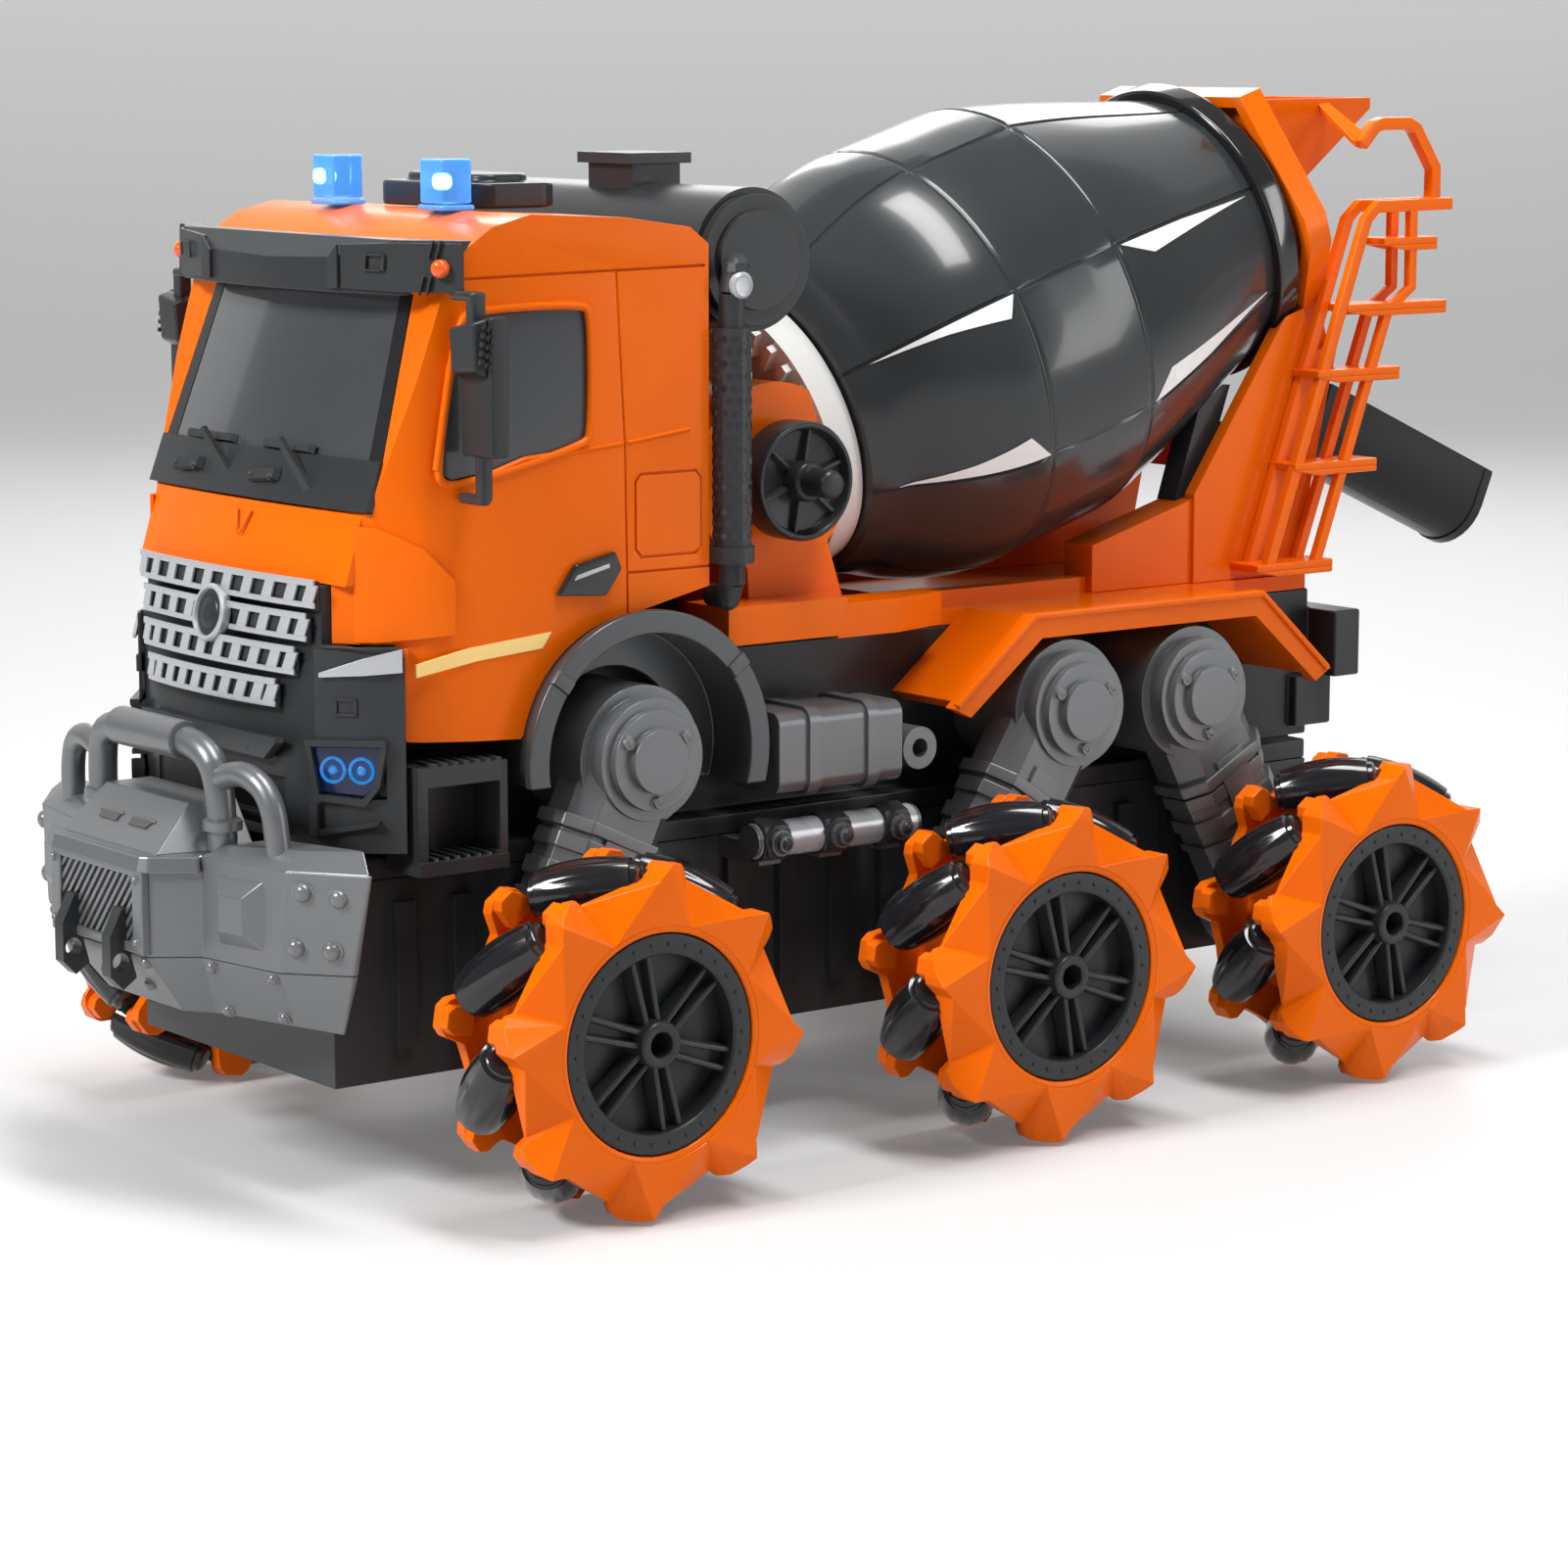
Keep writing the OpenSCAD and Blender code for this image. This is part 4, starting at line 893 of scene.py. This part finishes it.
def grille():
    """Four bowed silver slats, each with slanted slots, and a plain oval badge."""
    bm = bmesh.new()
    backing = bmesh.new()
    for row in range(4):
        half, back = GRILLE_HALF[row], GRILLE_BACK[row]
        z = 86.6 + 5.9 * row

        def front(x, half=half, back=back):
            return back - 2.6 + 1.7 * abs(x / half) ** 2.2

        path = [half * (i / 8 - 1) for i in range(17)]
        line = [(x, front(x)) for x in path]
        add_band(bm, line, z + 3.7, z + 4.9, 0.5)
        add_band(bm, line, z - 0.1, z + 0.9, 0.5)
        add_band(backing, [(x, y + 0.9) for x, y in line], z - 0.4, z + 4.6, 0.6)
        for k in range(10):
            x = max(-half + 1.3, min(half - 1.3, half * (2 * k / 9 - 1)))
            slope = (front(x + 0.1) - front(x - 0.1)) / 0.2
            add_plate(bm, (x, front(x), z + 2.3), (1, slope, 0),
                      [(-2.2, -1.6), (0.8, -1.6), (2.2, 1.6), (-0.6, 1.6)], -0.1, 0.42)
    settle("grille_slats", bm, "silver_plastic", bevel=0.14, replaces=("grille",))
    dark("grille_backing", backing, 0.1)
    centre, out = place(0, -38.9, 100.6), Vector((0, -1, 0.2))
    badge, middle = bmesh.new(), bmesh.new()
    add_turned(badge, [(5.2, 0), (5.2, 1.4), (4.8, 1.8), (4.3, 1.7), (4.1, 1.0)], centre, out, 40)
    add_turned(middle, [(4.2, 0.2), (4.2, 1.1), (2.9, 1.2),
                        (2.6, 1.5), (1.2, 1.7)], centre, out, 40)
    settle("grille_badge", badge, "silver_plastic")
    dark("badge_middle", middle, 0.0)


LIGHT = (35.5, -34.6, 76.5)
LIGHT_U = (cos(radians(38)), sin(radians(38)), 0)


# Flat trim round a headlight, as an outline in the light's plane and its two depths: the bars of
# the small frame above it, the backing, the four edges of the lens and the two lips below
LIGHT_TRIM = [
    (rectangle(3.6, 0.5, 0.4, 12.4), -1.4, 0.3), (rectangle(3.6, 0.5, 0.4, 9.8), -1.4, 0.3),
    (rectangle(0.5, 3.0, -1.4, 11.1), -1.4, 0.3), (rectangle(0.5, 3.0, 2.2, 11.1), -1.4, 0.3),
    (rectangle(14.6, 11, 0.9, 0), -3.2, -2.2),
    ([(-7.0, 4.1), (7.9, 4.5), (7.6, 5.6), (-7.0, 5.2)], -1, 0.8),
    ([(-7.0, 4.4), (-5.4, -4.6), (-4.6, -4.2), (-6.0, 4.4)], -2.2, 0.6),
    ([(7.9, 4.5), (6.5, -2.8), (5.5, -2.6), (6.9, 4.5)], -2.2, 0.6),
    ([(-5.4, -4.2), (3.4, -4.8), (5.5, -2.6), (6.5, -2.8), (4.0, -6.0), (-5.4, -5.2)], -2.2, 0.9),
    ([(-4.6, -11.4), (6.0, -9.4), (6.4, -8.6), (-4.6, -10.4)], -1.5, 0.9),
    ([(-6.2, -11.4), (-4.8, -11.4), (-4.8, -6.0), (-6.2, -6.0)], -1.5, 0.9),
]


def fascia():
    """The skirt round the cab's front corners, with the silver stripe and the headlights."""
    refine("cab_fascia", 0.5)
    bm, silver = bmesh.new(), bmesh.new()
    lens, bulbs = bmesh.new(), bmesh.new()
    for side in (1, -1):
        add_band(silver, [(31.9, -37.1), (38.7, -32.3), (43.0, -27.2)], [92.6, 93.2, 93.8],
                 [93.4, 96.2, 97.9], 0.7, side)
        skirt = [(30.4, -37.0), (34.6, -34.6), (38.7, -31.3), (42.4, -26.4)]
        add_band(bm, skirt, 81, [97.4, 97.2, 96.8, 96.4], 0.5, side)
        add_band(bm, skirt, 62.2, 71.6, 0.55, side)
        add_band(bm, [(40.4, -29.1), (42.4, -26.4)], 71.4, 81.2, 0.55, side)
        for outline, d0, d1 in LIGHT_TRIM:
            add_plate(bm, LIGHT, LIGHT_U, outline, d0, d1, side=side)
        add_plate(lens, LIGHT, LIGHT_U, [(-4.8, -4.0), (3.4, -4.6), (5.6, -2.6), (7.0, 4.4),
                                         (-6.0, 4.0)], -2.1, -0.7, side=side)
        for across in (-2.3, 2.9):
            u = Vector(LIGHT_U)
            x, y, z = Vector(LIGHT) + u * across + u.cross(Vector((0, 0, 1))) * -1.0
            for profile in ([(2.4, 0), (2.4, 0.6), (2.2, 0.8), (1.9, 0.7), (1.8, 0.1)],
                            [(0.8, 0), (0.8, 0.6), (0.5, 0.9)]):
                add_turned(bulbs, profile, place(side * x, y, z), Vector((side * u.y, -u.x, 0)), 28)
    for x in (-20, -14, 14, 20):
        add_bolt(bm, x, -40.4, 78.5, (0, -1, 0), 0.8, 0.5, 12)
    add_plate(bm, (0, -40.4, 76), (1, 0, 0),
              [(-24, 5.4), (24, 5.4), (24, 4.4), (20, 1.2), (-20, 1.2), (-24, 4.4)], -0.6, 0.7,
              taper=0.03)
    dark("fascia_trim", bm, 0.18)
    settle("fascia_stripe", silver, "silver_plastic", bevel=0.15)
    settle("headlight_lenses", lens, "headlight_lens", bevel=0.3, replaces=("headlights",))
    settle("headlight_rings", bulbs, "headlight_lens", look="lamp_cyan")


# ---------------------------------------------------------------- bumper

BUMPER_PLAN = [(0, -63), (15.6, -63), (21.4, -55.2), (43, -51.4), (56, -42.6)]
BUMPER_WAIST = [(0, -63), (15.6, -63), (21.4, -55.2), (40.8, -51.8), (51.0, -43.2)]
BUMPER_FOOT = [(0, -54.6), (13.2, -54.6), (18.4, -50.6), (36, -45.6), (46.5, -42.6)]


def ring_of(half, z, back):
    """A closed plan outline from its left half, which starts in the middle of the front."""
    corners = [(half[-1][0], back), (-half[-1][0], back)]
    left = [(-x, y) for x, y in half[:0:-1]]
    return [(x, y, z) for x, y in half + corners + left]


def bumper():
    """The folded front plate with its winch hood, mesh, bosses and bolts."""
    bm = bmesh.new()
    add_loft(bm, ring_of(BUMPER_WAIST, 44, -42), ring_of(BUMPER_PLAN, 62, -42))
    add_loft(bm, ring_of(BUMPER_FOOT, 33, -42), ring_of(BUMPER_WAIST, 43.95, -42))
    hood_low, hood_top = ([(-front, y, z), (front, y, z), (rear, -44, z), (-rear, -44, z)]
                          for front, rear, y, z in ((17, 21, -61.6, 61.9), (14.6, 15, -53.4, 70)))
    add_loft(bm, hood_low, hood_top)
    add_loft(bm, ring_of([(0, -64.6), (15.4, -64.6), (17.0, -63.4), (22.2, -56.4)], 59, -55.6),
             ring_of([(0, -63.8), (15.2, -63.8), (16.6, -62.8), (21.6, -56)], 61.8, -55.4))
    for side in (1, -1):
        add_loft(bm, [(21.4, -55.2, 61.9), (43, -51.4, 61.9), (56, -42.6, 61.9), (50, -41, 61.9),
                      (25, -44, 61.9)],
                 [(24.8, -52, 64.0), (41, -47.6, 64.8), (51.4, -40.8, 65.4), (50, -40.6, 65.4),
                  (28, -44, 64.6)], side)
        wing = (21.6, 3.8, 0)
        add_plate(bm, (31.6, -53.4, 53.2), wing, rectangle(12.4, 12.8), -0.4, 2.6, taper=0.5,
                  side=side)
        # Frame posts beside the mesh
        add_plate(bm, (14.6, -63, 52), (1, 0, 0), rectangle(3.4, 15, 0, -0.1), -0.5, 1.2, side=side)
        add_plate(bm, (5.6, -57.2, 66), (1, 0, 0), rectangle(8, 0.7, 0, 0.2), 0, 0.6,
                  v=(0, 0.73, 0.68), side=side)
    add_plate(bm, (0, -63, 45.4), (1, 0, 0), rectangle(27, 1.8), -0.5, 1.2)
    add_plate(bm, (0, -63, 58.6), (1, 0, 0), rectangle(27, 1.2), -0.5, 1.2)
    grey("bumper_shell", bm, 0.4, angle=12, sharp=14, replaces=("bumper",))

    hatch, mesh_back = bmesh.new(), bmesh.new()
    add_plate(mesh_back, (0, -63, 52), (1, 0, 0), rectangle(26, 12.6), 0, 0.15)
    for side in (1, -1):
        add_plate(mesh_back, (5.6, -57.7, 65.6), (1, 0, 0),
                  [(-3.6, -0.9), (2.6, -0.9), (3.4, 0.5), (-3.4, 0.5)], 0, 0.35,
                  v=(0, 0.73, 0.68), side=side)
    for i in range(-9, 14):
        (xa, za), (xb, zb) = [(i * 2.1 + (z - 52) * 0.9, z) for z in (46.2, 58)]
        if xa < -13:
            za, xa = za + (-13 - xa) / 0.9, -13
        if xb > 13:
            zb, xb = zb - (xb - 13) / 0.9, 13
        if zb - za < 0.8:
            continue
        add_plate(hatch, (0, -63, 0), (1, 0, 0), [(xa - 0.5, za), (xa + 0.5, za), (xb + 0.5, zb),
                                                  (xb - 0.5, zb)], 0.1, 0.7)
    settle("bumper_mesh_back", mesh_back, "dark_plastic", look="ring_black")
    grey("bumper_mesh", hatch, 0.0)
    refine("tow_hooks", 0.5)
    bumper_bolts()


def on_quad(a, b, c, d, along, down):
    """A point and an outward direction on the four-cornered face a, b (top), c, d (bottom)."""
    a, b, c, d = (Vector(p) for p in (a, b, c, d))
    top, low = a.lerp(b, along), c.lerp(d, along)
    return top.lerp(low, down), (b - a).cross(top - low)


def bumper_bolts():
    """Bolts on the bumper's wings, its lower folds and the mesh frame."""
    bm = bmesh.new()
    plan, waist, foot = BUMPER_PLAN, BUMPER_WAIST, BUMPER_FOOT
    faces = []
    for along, down in ((0.24, 0.2), (0.68, 0.24), (0.22, 0.74), (0.68, 0.76)):
        p, out = on_quad((*plan[3], 62), (*plan[4], 62), (*waist[3], 44), (*waist[4], 44),
                         along, down)
        faces.append((p, out, 1.7, 1.3))
    for i, spots in ((2, ((0.1, 0.14), (0.92, 0.12), (0.16, 0.9), (0.9, 0.85))),
                     (0, ((0.55, 0.6), (0.9, 0.12)))):
        for along, down in spots:
            p, out = on_quad((*waist[i], 44), (*waist[i + 1], 44), (*foot[i], 33),
                             (*foot[i + 1], 33), along, down)
            faces.append((p, out, 1.1, 0.9))
    for z in (46.6, 57.6):
        faces.append((Vector((14.6, -64.1, z)), Vector((0, -1, 0)), 0.8, 0.7))
    for side in (1, -1):
        for p, out, radius, height in faces:
            add_bolt(bm, side * p.x, p.y, p.z, (side * out.x, out.y, out.z), radius, height, 16)
    settle("bumper_bolts", bm, "grey_plastic", look="bolt_steel")


def bull_bar():
    """The hoop over the winch hood with its sleeve, feet and side tubes."""
    bm = bmesh.new()
    hoop = [(-21, -50.5, 62.5), (-20.9, -50.7, 74), (-17.5, -51.6, 80.4), (0, -52, 80.6),
            (17.5, -51.6, 80.4), (20.9, -50.7, 74), (21, -50.5, 62.5)]
    add_tube(bm, hoop, 2.6, 24)
    sleeve = [(2.5, -11.5), (3.35, -11.3), (3.45, -10.9), (3.45, 10.9), (3.35, 11.3), (2.5, 11.5)]
    add_turned(bm, sleeve, place(0, -52, 80.5), Vector((1, 0, 0)), 32)
    for side in (1, -1):
        add_tube(bm, [(side * 20.2, -50.8, 74.6), (side * 28, -50.3, 77.2),
                      (side * 35.2, -48.9, 73.6), (side * 36.4, -48.4, 62.5)], 2.2, 20)
        foot = [(3.5, -1), (3.5, 0.6), (3.0, 1.0), (2.5, 1.1)]
        add_turned(bm, foot, place(side * 21, -50.5, 67), Vector((0, 0, 1)), 24)
    grey("bull_bar_tubes", bm, 0.0, replaces=("bull_bar",))


# ---------------------------------------------------------------- behind the cab

def exhaust():
    """The stacks with their perforated sleeves and a silver ring at the bend."""
    refine("exhaust_stack", 0.15)
    holes, rings = bmesh.new(), bmesh.new()
    for side in (1, -1):
        for row in range(17):
            for k in range(12):
                a = radians(k * 30 + 15 * (row % 2))
                out = Vector((side * cos(a), sin(a), 0))
                centre = place(side * 44.2, 42.2, 113 + 2.2 * row) + out * 3.42 * MM
                add_turned(holes, [(0.62, 0), (0.62, 0.16)], centre, out, 6)
        ring = [(1.2, 0), (2.3, 0), (2.4, 0.9), (2.0, 1.3), (1.4, 1.0)]
        add_turned(rings, ring, place(side * 45.9, 42.6, 157.6), Vector((side, 0, 0)), 28)
    settle("exhaust_holes", holes, "dark_plastic", look="ring_black")
    settle("exhaust_rings", rings, "dark_plastic", look="silver_plastic")


def hand_wheel():
    """A dished wheel with raised spokes and a knob."""
    joint = JOINTS["hand_wheel_spin"]["pos_m"]
    centre = Vector((0, joint[1], joint[2]))
    bm = bmesh.new()
    profile = [(5, 30.7), (5, 33), (10.4, 33.1), (11, 33.6), (11, 39.2), (10.6, 39.9),
               (9.9, 39.9), (9.5, 39.2), (9.2, 37.6), (3.8, 37.3), (3.7, 40.6), (3.3, 41.2),
               (2.6, 41.3), (2.6, 47.4), (2.1, 48), (0.5, 48)]
    add_turned(bm, profile, centre, Vector((1, 0, 0)), 48)
    for k in range(6):
        a = radians(k * 60 + 20)
        along = Vector((0, cos(a), sin(a)))
        across = Vector((0, -sin(a), cos(a)))
        add_rings(bm, [[centre + (along * r + across * w + Vector((x, 0, 0))) * MM for w, x in
                        ((-0.7, 37), (-0.35, 38.7), (0.35, 38.7), (0.7, 37))] for r in (3.4, 9.6)])
    settle("hand_wheel_dish", bm, "dark_plastic", "hand_drive",
           bevel=0.15, replaces=("hand_wheel",))


def chute():
    """A half-round chute with a rolled lip at its lower end."""
    refine("chute", 0.5, look="chute_black")
    bm = bmesh.new()
    slope = radians(23.6)
    down = Vector((0, cos(slope), -sin(slope)))
    lift = Vector((0, sin(slope), cos(slope)))
    pivot = place(0, 222, 122)
    bore, rim = 7.5, 7.6
    rings = []
    for d, outer in ((50.4, 9.0), (50.6, 9.35), (52.8, 9.35), (53.0, 9.0)):
        arcs = [(r * cos(radians(a)), r * sin(radians(a)))
                for r, turn in ((outer, range(180, 361, 12)), (bore, range(360, 179, -12)))
                for a in turn]
        half = len(arcs) // 2
        points = [(-outer, rim)] + arcs[:half] + [(outer, rim), (bore, rim)] + arcs[half:]
        points.append((-bore, rim))
        rings.append([pivot + (down * d + lift * z + Vector((x, 0, 0))) * MM
                      for x, z in points])
    add_rings(bm, rings)
    settle("chute_lip", bm, "dark_plastic", "chute", "chute_black")


def pods():
    """Three bolts on the cap of each gearbox pod, and bands round its leg."""
    refine("front_gearboxes", 0.5)
    refine("rear_gearboxes", 0.5)
    caps, bands = bmesh.new(), bmesh.new()
    pod_z, cap_x, bolt_circle = 75, 51.9, 7.4
    for pod_y, hub in ((19.8, 0), (AXLES["middle"] + 27.3, AXLES["middle"]),
                       (AXLES["rear"] - 23.3, AXLES["rear"])):
        for side in (1, -1):
            for a in (30, 150, 270):
                t = radians(a)
                y, z = pod_y + bolt_circle * cos(t), pod_z + bolt_circle * sin(t)
                add_bolt(caps, side * cap_x, y, z, (side, 0, 0), 1.15, 0.8, 14)
        lean = atan2(pod_y - hub, pod_z - HUB_Z)
        for low, high, grow in ((31.4, 33.8, 1.0), (27.6, 30.6, 0.5), (17.6, 19.4, 0.6)):
            half_x, half_y = 7 + grow, 10.5 + grow
            outline = [(half_x, half_y - 4), (half_x - 4, half_y), (4 - half_x, half_y),
                       (-half_x, half_y - 4)]
            outline += [(-x, -across) for x, across in outline]
            near, far = ([(43 + x, hub + a * sin(lean) + across * cos(lean),
                           HUB_Z + a * cos(lean) - across * sin(lean))
                          for x, across in outline] for a in (low, high))
            for side in (1, -1):
                add_loft(bands, near, far, side)
    grey("pod_caps", caps, 0.0)
    grey("leg_bands", bands, 0.3)


def tank_fittings():
    """A bright air tube in three dark clamps under each tank, and the grips of the doors."""
    tube, clamps, grip, bar = (bmesh.new() for _ in range(4))
    along = Vector((0, 1, 0))
    tube_x, tube_z = 44, 56.5
    for side in (1, -1):
        add_turned(tube, [(3.1, -18.2), (3.35, -18), (3.35, 18),
                          (3.1, 18.2)], place(side * tube_x, 65, tube_z), along, 32)
        for y in (50, 64, 78):
            add_turned(clamps, [(3.9, -3), (4.2, -2.6), (4.2, 2.6),
                                (3.9, 3)], place(side * tube_x, y, tube_z), along, 8)
            add_bolt(clamps, side * 47.9, y, tube_z, (side, 0, 0), 2.7, 1.4, 6)
            add_bolt(clamps, side * 49, y, tube_z, (side, 0, 0), 1.6, 1.8, 16)
        add_side_prism(grip, [(6.2, 105.6), (8.6, 109.0), (15.8, 110.6), (16.6, 108.6),
                              (14.0, 105.4)], side * 43.8, side * 44.3)
        add_side_prism(bar, [(7.6, 107.2), (15.2, 109.0), (15.0, 109.7), (8.2, 108.1)],
                       side * 44.2, side * 44.6)
    settle("air_tubes", tube, "silver_plastic")
    dark("air_tube_clamps", clamps, 0.2)
    settle("door_grips", grip, "handle_black", bevel=0.2)
    settle("door_grip_bars", bar, "silver_plastic", bevel=0.1)


def mudguards():
    """A rolled lip along the outer edge of the mudguards."""
    bm = bmesh.new()
    lip = [(91.2, 77.7), (110, 93.3), (168.6, 93.3), (186.6, 77.1)]
    for side in (1, -1):
        flat_bar(bm, lip, side * 47.7, side * 49.2, 1.3)
    orange("mudguard_lips", bm, 0.3)


def arches():
    """The arches over the front wheels, with two clips on each."""
    refine("wheel_arches", 0.7, look="arch_grey")
    arch_middle = Vector((47.4, 22, 75))
    bm = bmesh.new()
    for side in (1, -1):
        for a in (38, 142):
            t = radians(a)
            out = Vector((0, cos(t), sin(t)))
            clip = arch_middle + out * 24.2
            add_plate(bm, clip, (0, -sin(t), cos(t)), rectangle(3.0, 4.6), -0.3, 0.7,
                      v=(0, -cos(t), -sin(t)), side=side, taper=0.15)
    settle("arch_clips", bm, "grey_plastic", look="arch_grey", bevel=0.2)


# ---------------------------------------------------------------- rear

def step(bm, x0, x1, y0, y1, z):
    """A flat tread with turned-down edges."""
    add_box(bm, x0, x1, y0, y1, z, z + 1.5)
    skirt = [(y0, z + 0.1), (y1, z + 0.1), (y1, z - 1.2), (y0 + 6, z - 1.2)]
    for x in (x0, x1 - 1.0):
        add_side_prism(bm, skirt, x, x + 1.0)


def flat_bar(bm, points, x0, x1, width):
    """A bar of even width that follows a side path of (y, z)."""
    rings = []
    for i, (y, z) in enumerate(points):
        before, after = points[max(i - 1, 0)], points[min(i + 1, len(points) - 1)]
        run = Vector((after[0] - before[0], after[1] - before[1])).normalized()
        oy, oz = -run.y * width / 2, run.x * width / 2
        rings.append([place(x0, y - oy, z - oz), place(x1, y - oy, z - oz),
                      place(x1, y + oy, z + oz), place(x0, y + oy, z + oz)])
    add_rings(bm, rings)


def ladder():
    """Two bent rails on each side with five treads, and the guard hoop at their top."""
    bm = bmesh.new()
    for x0, x1 in ((27.4, 29.2), (32.8, 34.6)):
        flat_bar(bm, [(184, 96), (209.4, 164.6), (212.4, 167.2), (233.4, 167.4)], x0, x1, 2.5)
        flat_bar(bm, [(197, 96), (216, 146.4), (222.4, 150.6), (222.4, 166.6)], x0, x1, 2.2)
    for x0, x1, y0, y1, z in ((27, 35, 180, 201, 95.2), (27, 34.9, 190, 213, 115),
                              (27, 34.9, 196, 219, 133.4), (27.3, 34.9, 204, 232, 146.4),
                              (27.6, 34.9, 214, 229, 159.4)):
        step(bm, x0, x1, y0, y1, z)
    orange("ladder_frame", bm, 0.3, angle=30, replaces=("ladder",))
    bm = bmesh.new()
    hoop = [(213.4, 179.4), (217.0, 183.0), (219.0, 183.6), (226.4, 183.6), (228.6, 182.6),
            (234.4, 174.4), (234.4, 167.4)]
    flat_bar(bm, hoop, 26.2, 28.9, 2.6)
    add_loft(bm, [(15.6, 212, 186.6), (15.2, 215.4, 186.6), (15.2, 215.4, 188.4),
                  (15.6, 212, 188.4)],
             [(27.4, 212.6, 178.6), (27.4, 215.6, 180.6), (27.4, 214.6, 182.2),
              (27.4, 211.8, 180.2)])
    orange("guard_hoop", bm, 0.35, angle=30)


# Nodes that need only their moulded edges, with the width of the edge
REFINED = {
    "chassis_tub": 0.5, "chassis_frame": 0.5, "battery_door": 0.3, "side_windows": 0.2,
    "roof_unit": 0.6, "door_handles": 0.45, "cab_steps": 0.2, "water_tank": 0.9,
    "drum_pedestal": 0.4, "gear_cover": 0.4, "pinion_shaft": 0.1, "deck": 0.4, "rear_frame": 0.4,
    "charge_hopper": 0.35, "drum_saddles": 0.4, "chute_bracket": 0.3, "side_tanks": 0.5,
    "power_switch": 0.2,
}


def make_rest():
    for node, bevel in REFINED.items():
        refine(node, bevel)
    for make in (windscreen, front_panel, visor, beacons, mirrors, grille, fascia, bumper,
                 bull_bar, exhaust, hand_wheel, chute, pods, tank_fittings, mudguards, arches,
                 ladder):
        make()


# ---------------------------------------------------------------- stage

CAMERA = (688.3, -437.5, 201.7)
LOOK = Vector((-0.78419, 0.59826, -0.16470))
FOCAL = 103.2


def make_camera():
    data = bpy.data.cameras.new("camera")
    data.lens = FOCAL
    data.sensor_width = 36
    camera = put("camera", data)
    camera.location = place(*CAMERA)
    camera.rotation_euler = LOOK.to_track_quat("-Z", "Y").to_euler()
    bpy.context.scene.camera = camera


def make_floor():
    """A pale studio sweep: a floor that curves up into a wall behind the truck."""
    bm = bmesh.new()
    away = Vector((LOOK.x, LOOK.y, 0)).normalized()
    across = Vector((away.y, -away.x, 0))
    profile = [(-3.0, 0.0), (1.4, 0.0)]
    profile += [(1.4 + 1.2 * sin(t * pi / 24), 1.2 - 1.2 * cos(t * pi / 24))
                for t in range(1, 13)]
    profile.append((2.6, 4.0))
    rows = [[bm.verts.new(away * d + across * w + Vector((0, 0, h))) for w in (-5, 5)]
            for d, h in profile]
    for a, b in zip(rows, rows[1:]):
        bm.faces.new((a[0], a[1], b[1], b[0]))
    mesh = bpy.data.meshes.new("floor")
    bm.to_mesh(mesh)
    bm.free()
    mesh.shade_smooth()
    floor = put("floor", mesh)
    mat = bpy.data.materials.new("floor")
    mat.use_nodes = True
    shader = mat.node_tree.nodes["Principled BSDF"]
    shader.inputs["Base Color"].default_value = (0.52, 0.52, 0.52, 1)
    shader.inputs["Roughness"].default_value = 0.7
    shader.inputs["Emission Color"].default_value = (1, 1, 1, 1)
    tree = mat.node_tree
    coords = add_node(tree, "TexCoord", {})
    split = add_node(tree, "SeparateXYZ", {})
    glow = add_node(tree, "MapRange", {"From Min": 0.02, "From Max": 0.8, "To Min": 0.12,
                                       "To Max": 0.75})
    wire(tree, (coords, "Object", split, "Vector"), (split, "Z", glow, "Value"),
         (glow, "Result", shader, "Emission Strength"))
    floor.data.materials.append(mat)


def softbox(name, location, target, size, power):
    data = bpy.data.lights.new(name, "AREA")
    data.shape = "RECTANGLE"
    data.size, data.size_y = size
    data.energy = power
    lamp = put(name, data)
    lamp.location = location
    lamp.rotation_euler = (Vector(target) - Vector(location)).to_track_quat("-Z", "Y").to_euler()


def make_lights():
    middle = (0, 0, 0.08)
    softbox("key", (0.0, -1.05, 0.8), middle, (0.3, 0.3), 15)
    softbox("side", (1.05, 0.85, 0.4), middle, (0.2, 0.8), 3.5)
    softbox("top", (0.3, 0.0, 1.15), middle, (0.25, 0.9), 13)
    softbox("back", (-0.8, 0.7, 0.7), middle, (0.7, 0.5), 5)
    world = bpy.data.worlds.new("studio")
    bpy.context.scene.world = world
    world.use_nodes = True
    world.node_tree.nodes["Background"].inputs["Color"].default_value = (0.92, 0.94, 0.97, 1)
    world.node_tree.nodes["Background"].inputs["Strength"].default_value = 0.22
    bpy.context.scene.view_settings.view_transform = "Standard"


make_camera()
make_floor()
make_lights()
make_wheels()
make_drum()
cab_details()
make_rest()
